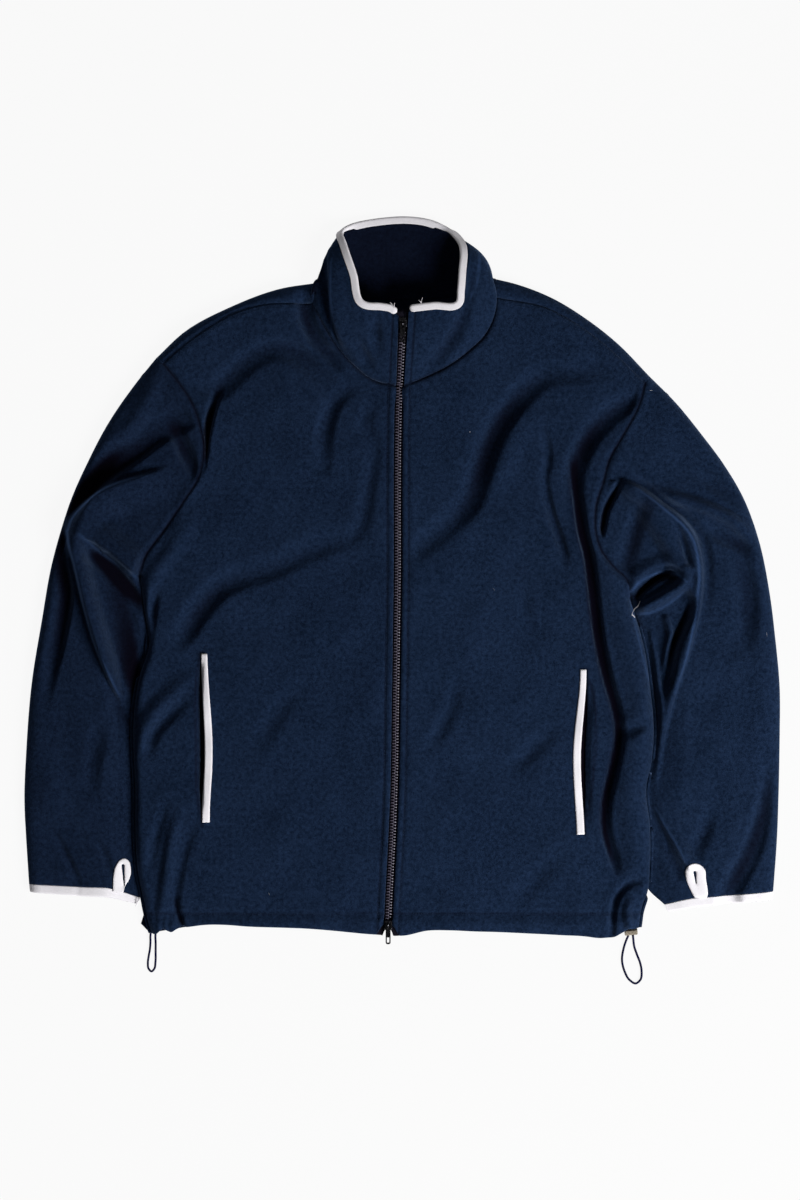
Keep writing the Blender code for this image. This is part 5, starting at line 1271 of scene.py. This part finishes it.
def makeTeeth():
    shape = toothShape()
    made = []
    low, high = zipParts["chain"]
    count = int((high - low) / zipParts["pitch"])
    for side in sides:
        sign = -outwards[side]
        places = []
        for k in range(count):
            y = low + (k + (0.25 if side == "right" else 0.75)) * zipParts["pitch"]
            spot = onZip([y])[0] + (-sign * zipParts["toothOff"], 0, zipParts["toothUp"])
            ahead = unit(onZip([y + 1])[0] - onZip([y - 1])[0])
            over = unit(np.cross((1.0, 0, 0), ahead))
            across = np.cross(ahead, over)
            turn = np.column_stack([across * sign, ahead * sign, over])
            places.append((spot, turn))
        made.append(repeated(side + "ZipTeeth", shape, places))
    bpy.data.objects.remove(shape)
    return made


# distance between stitches, the front's column under the zip's row of them, and the
# shoulder rows' distances from the seam
sewing = {"pitch": 3.0, "column": 15.5, "shoulder": (3.0, 6.0), "stitch": (1.15, 0.28, 0.26)}


def stitchShape():
    return startShape("primitive_uv_sphere_add", segments=6, ring_count=4, radius=1,
                      location=(0, 0, 0), scale=[size * mm for size in sewing["stitch"]])


def stitchPlaces(line):                 # where each stitch of a row lies and how it turns
    travelled = lengths(line)
    at = np.arange(sewing["pitch"] / 2, travelled[-1], sewing["pitch"])
    spots = np.column_stack([np.interp(at, travelled, line[:, k]) for k in range(3)])
    ahead = np.column_stack([np.interp(np.minimum(at + 0.8, travelled[-1]), travelled, line[:, k])
                             - np.interp(at - 0.8, travelled, line[:, k]) for k in range(3)])
    places = []
    for spot, run in zip(spots, unit(ahead)):
        across = unit(np.cross((0, 0, 1.0), run))
        places.append((spot, np.column_stack([run, across, np.cross(run, across)])))
    return places


threads = [                             # points along each, thickness
    ([(-9, 291, 40), (-11, 295, 41), (-13.5, 298, 40.5)], 0.6),
    ([(-8, 291, 40), (-9, 294.5, 41.3), (-8.5, 297, 40.5)], 0.6),
    ([(20, 296.5, 40), (20.5, 299.5, 41), (21.5, 303, 40.5)], 0.5),
    ([(20, 297, 40), (18.5, 299, 41.5), (17, 300, 40.5)], 0.5),
    ([(256.5, -23), (254.5, -28), (250.5, -32), (247.5, -38)], 0.35),
    ([(247.5, -38), (250, -39.5), (251, -41)], 0.6),
    ([(-284, -345, 8), (-286.5, -349, 6), (-288.5, -353, 4.5)], 0.9),
    ([(97.5, -9), (99, -11.5)], 0.12), ([(393, -57), (393.5, -61)], 0.14),
    ([(1.5, -136), (2.3, -138)], 0.12), ([(-144.5, -338), (-143.8, -340.5)], 0.14),
    ([(72, 160), (73.5, 159)], 0.12), ([(266.5, 205), (268, 204), (269.5, 204.2)], 0.2)]


def makeThreads():                      # cut ends of the binding's yarn, and lint
    spokes, rings = 6, 12
    points, faces = [], []
    for route, thick in threads:
        route = np.array(route, float)
        if route.shape[1] == 2:         # lint lies on the cloth
            route = np.maximum(clothTop("sleeve", route), clothTop("body", route))
            route[:, 2] += thick / 3
        line = along(route, np.linspace(0, 1, rings))
        run = unit(np.gradient(line, axis=0))
        across = unit(np.cross(run, (0.1, 0.2, 1.0)))
        over = np.cross(across, run)
        first = len(points)
        for k in range(rings):
            for turn in np.linspace(0, 2 * math.pi, spokes, endpoint=False):
                away = math.cos(turn) * across[k] + math.sin(turn) * over[k]
                points.append(line[k] + thick / 2 * away)
        for k in range(rings - 1):
            for j in range(spokes):
                a, b = first + k * spokes + j, first + k * spokes + (j + 1) % spokes
                faces.append((a, a + spokes, b + spokes, b))
        faces.append(tuple(range(first, first + spokes)))
        faces.append(tuple(range(len(points) - spokes, len(points)))[::-1])
    return link("looseThreads", points, faces)


def makeSewing():                       # stitches of the zip's facing, the casing, the shoulders
    stitch = stitchShape()
    lines = []
    for side in sides:
        sign = outwards[side]
        y = np.linspace(-378, neckSeam[side][0][1] - 1, 700)
        x = xAt(zipLine, y) + sign * (zipParts["gap"] / 2 + zipParts["stitch"])
        column = np.abs(frontColumnPlaces - sewing["column"]).argmin()
        z = np.interp(y, front[side][:, column, 1], front[side][:, column, 2])
        lines.append(np.column_stack([x, y, z + 0.05]))
        start = xAt(sideSeam[side], [casing["y"]])[0] - sign * 6
        x = np.linspace(start, sign * 22 - 13, 240)
        plan = np.column_stack([x, np.full(240, casing["y"])])
        lines.append(clothTop("body", plan) + (0, 0, 0.1))
        for shift in sewing["shoulder"]:
            plan = offsetLine(along(shoulderSeam[side], np.linspace(0.02, 0.98, 200)),
                              shift * sign)
            lines.append(clothTop("body", plan) + (0, 0, 0.05))
    places = [place for line in lines for place in stitchPlaces(line)]
    made = repeated("fleeceStitches", stitch, places)
    bpy.data.objects.remove(stitch)
    return made


cord = {"wide": 2.4}
cordPaths = {          # from the cord lock, round the loop and back
    "right": [(-266.5, -373, 5.6), (-269.5, -376.5, 5.2), (-272, -380.5, 3.6),
              (-272.8, -385.5, 1.9), (-272.8, -391.6, 1.2), (-273.4, -400, 1.2),
              (-274.8, -408, 1.2), (-275.6, -415, 1.2), (-274.8, -421, 1.2),
              (-271.6, -424, 1.2), (-268.6, -421, 1.2), (-267.4, -414, 1.2),
              (-267.2, -402, 1.2), (-267.2, -392, 1.2), (-267.4, -386.4, 2.0),
              (-266.8, -381.6, 4.2), (-264.5, -377, 5.6)],
    "left": [(244.2, -384.9, 5.0), (242.2, -389.8, 2.8), (239.6, -398, 1.1),
             (237.6, -412, 1.1), (240.4, -424, 1.1), (246, -433.5, 1.1), (252.5, -437, 1.1),
             (257.5, -433, 1.1), (258.8, -424, 1.1), (257.4, -415.5, 1.1),
             (253.5, -405, 1.1), (250.6, -396, 1.1), (249.8, -389.6, 2.8),
             (249.2, -384.5, 5.0)],
}


def makeCord(side):
    line = along(cordPaths[side], np.linspace(0, 1, 90))
    line[:, 2] = np.maximum(line[:, 2], cord["wide"] / 2)
    curve = bpy.data.curves.new(side + "CordLoop", "CURVE")
    curve.dimensions = "3D"
    curve.bevel_depth = cord["wide"] / 2 * mm
    curve.bevel_resolution = 4
    curve.use_fill_caps = True
    spline = curve.splines.new("POLY")
    spline.points.add(len(line) - 1)
    for place, point in zip(spline.points, line):
        place.co = (*(point * mm), 1)
    spline.use_smooth = True
    piece = bpy.data.objects.new(side + "CordLoop", curve)
    bpy.context.scene.collection.objects.link(piece)
    return piece, tuple(line[0] * mm), float(lengths(line)[-1] * mm)


def newGroup(name):                     # two colours and a fineness in, colour and height out
    group = bpy.data.node_groups.new(name, "ShaderNodeTree")
    for label, kind in (("Dark", "NodeSocketColor"), ("Light", "NodeSocketColor"),
                        ("Fineness", "NodeSocketFloat")):
        group.interface.new_socket(label, in_out="INPUT", socket_type=kind)
    for label, kind in (("Color", "NodeSocketColor"), ("Height", "NodeSocketFloat")):
        group.interface.new_socket(label, in_out="OUTPUT", socket_type=kind)
    return group, group.nodes.new("NodeGroupInput"), group.nodes.new("NodeGroupOutput")


def finishGroup(group, start, end, total, span, height):      # spreads total over the two colours
    spread = add(group, "ShaderNodeMapRange", {"Value": total, "From Min": span[0],
                                               "From Max": span[1]}).outputs["Result"]
    colour = mixColour(group, spread, start.outputs["Dark"], start.outputs["Light"])
    group.links.new(colour, end.inputs["Color"])
    group.links.new(height, end.inputs["Height"])
    return group


def add(tree, kind, inputs=(), **values):
    node = tree.nodes.new(kind)
    for name, value in values.items():
        setattr(node, name, value)
    for key, value in dict(inputs).items():
        if isinstance(value, bpy.types.NodeSocket):
            tree.links.new(value, node.inputs[key])
        else:
            node.inputs[key].default_value = value
    return node


def mixColour(tree, factor, dark, light):
    node = tree.nodes.new("ShaderNodeMix")
    node.data_type = "RGBA"
    tree.links.new(factor, node.inputs[0])
    for index, value in ((6, dark), (7, light)):
        if isinstance(value, bpy.types.NodeSocket):
            tree.links.new(value, node.inputs[index])
        else:
            node.inputs[index].default_value = value
    return node.outputs[2]


def makeNap():                          # brushed pile: fine fibres, clumps and worn patches
    group, start, end = newGroup("brushedNap")
    place = add(group, "ShaderNodeTexCoord").outputs["Object"]
    fine = add(group, "ShaderNodeTexNoise", {"Vector": place, "Scale": start.outputs["Fineness"],
                                             "Detail": 3.0, "Roughness": 0.6}).outputs["Fac"]
    clump = add(group, "ShaderNodeTexNoise", {"Vector": place, "Scale": 260.0,
                                              "Detail": 3.0}).outputs["Fac"]
    patch = add(group, "ShaderNodeTexNoise", {"Vector": place, "Scale": 14.0, "Detail": 4.0,
                                              "Roughness": 0.65}).outputs["Fac"]
    first = add(group, "ShaderNodeMath", {0: fine, 1: clump}, operation="ADD").outputs[0]
    total = add(group, "ShaderNodeMath", {0: patch, 1: 0.35, 2: first},
                operation="MULTIPLY_ADD").outputs[0]
    return finishGroup(group, start, end, total, (0.90, 1.45), first)


def makeWeave():                        # ribs and threads of woven tape
    group, start, end = newGroup("wovenRibs")
    place = add(group, "ShaderNodeTexCoord").outputs["Object"]
    thread = add(group, "ShaderNodeTexVoronoi",
                 {"Vector": place, "Scale": start.outputs["Fineness"]}).outputs["Distance"]
    soil = add(group, "ShaderNodeTexNoise", {"Vector": place, "Scale": 60.0,
                                             "Detail": 4.0}).outputs["Fac"]
    total = add(group, "ShaderNodeMath", {0: thread, 1: soil}, operation="ADD").outputs[0]
    return finishGroup(group, start, end, total, (0.5, 1.3), thread)


def newFinish(name):
    finish = bpy.data.materials.new(name)
    finish.use_nodes = True
    return finish, finish.node_tree, finish.node_tree.nodes["Principled BSDF"]


paintedShadeAndHighlight = {"paintedShadeColour": (0.58, 0.13, 0.15), "raised": 3.4}    # painted shade and painted highlight colours, times its dark and its light colour


def clothFinish(name, group, dark, light, fineness, roughness, bump, sheen=0.0, tint=(1, 1, 1, 1)):
    finish, tree, shader = newFinish(name)
    detail = add(tree, "ShaderNodeGroup", node_tree=group)
    detail.inputs["Dark"].default_value = (*dark, 1)
    detail.inputs["Light"].default_value = (*light, 1)
    detail.inputs["Fineness"].default_value = fineness
    # painted shade: the shade layer darkens the colour; painted highlight: the rim layer lightens
    # it
    paintedShadeColour = [value * part for value, part in zip(dark, paintedShadeAndHighlight["paintedShadeColour"])]
    depth = add(tree, "ShaderNodeAttribute", attribute_name="shade").outputs["Fac"]
    colour = mixColour(tree, depth, detail.outputs["Color"], (*paintedShadeColour, 1))
    raised = add(tree, "ShaderNodeAttribute", attribute_name="rim").outputs["Fac"]
    colour = mixColour(tree, raised, colour, (*(value * paintedShadeAndHighlight["raised"] for value in light), 1))
    tree.links.new(colour, shader.inputs["Base Color"])
    relief = add(tree, "ShaderNodeBump", {"Height": detail.outputs["Height"], "Strength": bump,
                                          "Distance": 0.0006})
    tree.links.new(relief.outputs["Normal"], shader.inputs["Normal"])
    shader.inputs["Roughness"].default_value = roughness
    shader.inputs["Specular IOR Level"].default_value = 0.0
    shader.inputs["Sheen Weight"].default_value = sheen
    shader.inputs["Sheen Roughness"].default_value = 0.45
    shader.inputs["Sheen Tint"].default_value = tint
    finish.diffuse_color = (*light, 1)
    return finish


def hardFinish(name, dark, light, roughness, metallic, scale=700.0):
    finish, tree, shader = newFinish(name)
    place = add(tree, "ShaderNodeTexCoord").outputs["Object"]
    # noise for wear and random tone; on the dark metal its bright specks are painted glints beside
    # the real reflections
    wearAndGlints = add(tree, "ShaderNodeTexNoise", {"Vector": place, "Scale": scale,
                                            "Detail": 4.0}).outputs["Fac"]
    colour = mixColour(tree, wearAndGlints, (*dark, 1), (*light, 1))
    tree.links.new(colour, shader.inputs["Base Color"])
    rough = add(tree, "ShaderNodeMapRange", {"Value": wearAndGlints, "To Min": roughness - 0.08,
                                             "To Max": roughness + 0.1}).outputs["Result"]
    tree.links.new(rough, shader.inputs["Roughness"])
    relief = add(tree, "ShaderNodeBump", {"Height": wearAndGlints, "Strength": 0.15, "Distance": 0.0001})
    tree.links.new(relief.outputs["Normal"], shader.inputs["Normal"])
    shader.inputs["Metallic"].default_value = metallic
    finish.diffuse_color = (*light, 1)
    return finish


def wear(piece, finish):
    if not piece.data.materials:
        piece.data.materials.append(finish)
    for k in range(len(piece.data.materials)):
        piece.data.materials[k] = finish


def makeStudio():
    floor = startShape("primitive_plane_add", size=6, location=(0, 0, -0.0004))
    floor.name = "floor"
    paper, tree, shader = newFinish("paper")
    place = add(tree, "ShaderNodeTexCoord").outputs["Object"]
    grain = add(tree, "ShaderNodeTexNoise", {"Vector": place, "Scale": 3.0}).outputs["Fac"]
    colour = mixColour(tree, grain, (*studio["paperDark"], 1), (*studio["paperLight"], 1))
    tree.links.new(colour, shader.inputs["Base Color"])
    shader.inputs["Roughness"].default_value = 1.0
    shader.inputs["Specular IOR Level"].default_value = 0.0
    shader.inputs["Emission Color"].default_value = (1, 1, 1, 1)
    shader.inputs["Emission Strength"].default_value = studio["glow"]
    floor.data.materials.append(paper)
    world = bpy.data.worlds.new("studio")
    world.use_nodes = True
    background = world.node_tree.nodes["Background"]
    background.inputs["Color"].default_value = (*studio["air"], 1)
    background.inputs["Strength"].default_value = studio["airStrength"]
    bpy.context.scene.world = world
    for name, place, size, power in studio["lamps"]:
        lamp = bpy.data.lights.new(name, "AREA")
        lamp.shape = "DISK"
        lamp.size = size
        lamp.energy = power
        item = bpy.data.objects.new(name, lamp)
        item.location = place
        item.rotation_euler = (-Vector(place)).to_track_quat("-Z", "Y").to_euler()
        bpy.context.scene.collection.objects.link(item)
    bpy.context.scene.view_settings.view_transform = "Standard"


studio = {
    "paperDark": (0.035, 0.035, 0.035), "paperLight": (0.040, 0.040, 0.040), "glow": 0.92,
    "air": (1.0, 1.0, 1.0), "airStrength": 0.03,
    "lamps": [("keyLamp", (2.0, -1.74, 2.09), 1.65, 168), ("fillLamp", (-0.9, 1.6, 3.4), 2.4, 14)],
}
makeStudio()

nap, weave = makeNap(), makeWeave()
finishes = {
    "fleece": clothFinish("navyFleece", nap, (0.0032, 0.0076, 0.0198), (0.0108, 0.0224, 0.0535),
                          900, 0.95, 1.0, 0.20, (0.30, 0.46, 0.80, 1)),
    "binding": clothFinish("elasticBinding", weave, (0.66, 0.64, 0.68), (0.78, 0.76, 0.79),
                           1500, 0.8, 0.25),
    "lining": clothFinish("pocketCloth", weave, (0.004, 0.006, 0.012), (0.008, 0.010, 0.020),
                          1500, 0.9, 0.3),
    "zip_tape": clothFinish("zipTapeCloth", weave, (0.004, 0.004, 0.007), (0.009, 0.008, 0.013),
                            1500, 0.85, 0.4),
    "drawcord": clothFinish("elasticCord", weave, (0.003, 0.004, 0.018), (0.008, 0.009, 0.040),
                            1300, 0.75, 0.4),
    "zip_teeth": hardFinish("zipTeethPlastic", (0.036, 0.031, 0.048), (0.100, 0.088, 0.126),
                            0.36, 0.0, 330),
    "zip_metal": hardFinish("darkMetal", (0.008, 0.008, 0.011), (0.085, 0.085, 0.095),
                            0.24, 1.0, 650),
    "cord_lock": hardFinish("satinBarrel", (0.36, 0.31, 0.24), (0.48, 0.42, 0.33), 0.38, 1.0),
}


def dress(piece, slot, *nodes):
    wear(piece, finishes[slot])
    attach(piece, "jacket")
    if nodes:
        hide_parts(*nodes)
    return piece


for side in sides:
    piece, start, length = makeCord(side)
    dress(piece, "drawcord", "cord_loop_" + side)
    print("cord loop", side, round(length, 4))

fronts = makeFronts()
sleeves = makeSleeves()
backPiece = clothWall("backPanel", backGrid, cloth["fleece"], False, backHoles)
collarPiece, collarEdging = makeCollar()
print("body cloth made")
for side in sides:
    dress(fronts[side], "fleece", "front_" + side)
    dress(sleeves[side], "fleece", "sleeve_" + side + "_upper", "sleeve_" + side + "_under")
facingUp = np.array([v.normal.z for v in backPiece.data.vertices]) > 0.5
low = pointsOf(backPiece)[:, 2] < 4     # its inside, seen through the neck, gets painted shadow
shade(backPiece, collar["insideShade"] * (low & facingUp))
dress(backPiece, "fleece", "back")
dress(collarPiece, "fleece", "collar")
dress(collarEdging, "binding", "collar_binding")
cuffs, loops, welts, linings, tapes = {}, {}, {}, {}, {}
for side in sides:
    cuffs[side] = dress(makeCuff(side), "binding", "cuff_binding_" + side)
    loops[side] = dress(makeThumbLoop(side), "binding", "thumb_loop_" + side)
    welt, lining = makePocket(side)
    welts[side] = dress(welt, "binding", "pocket_welt_" + side)
    linings[side] = dress(lining, "lining", "pocket_facing_" + side)
    tapes[side] = dress(makeTape(side), "zip_tape", "zip_tape_" + side)
print("bindings and zip tapes made")
for teeth in makeTeeth():
    dress(teeth, "zip_teeth", "zip_chain")
dress(makeSewing(), "fleece")
dress(makeThreads(), "binding")
print("zip and sewing made")
for node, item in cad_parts.items():
    if node.startswith(("slider", "pull_tab")):
        wear(item, finishes["zip_metal"])
    if node.startswith("cord_lock"):
        wear(item, finishes["cord_lock"])
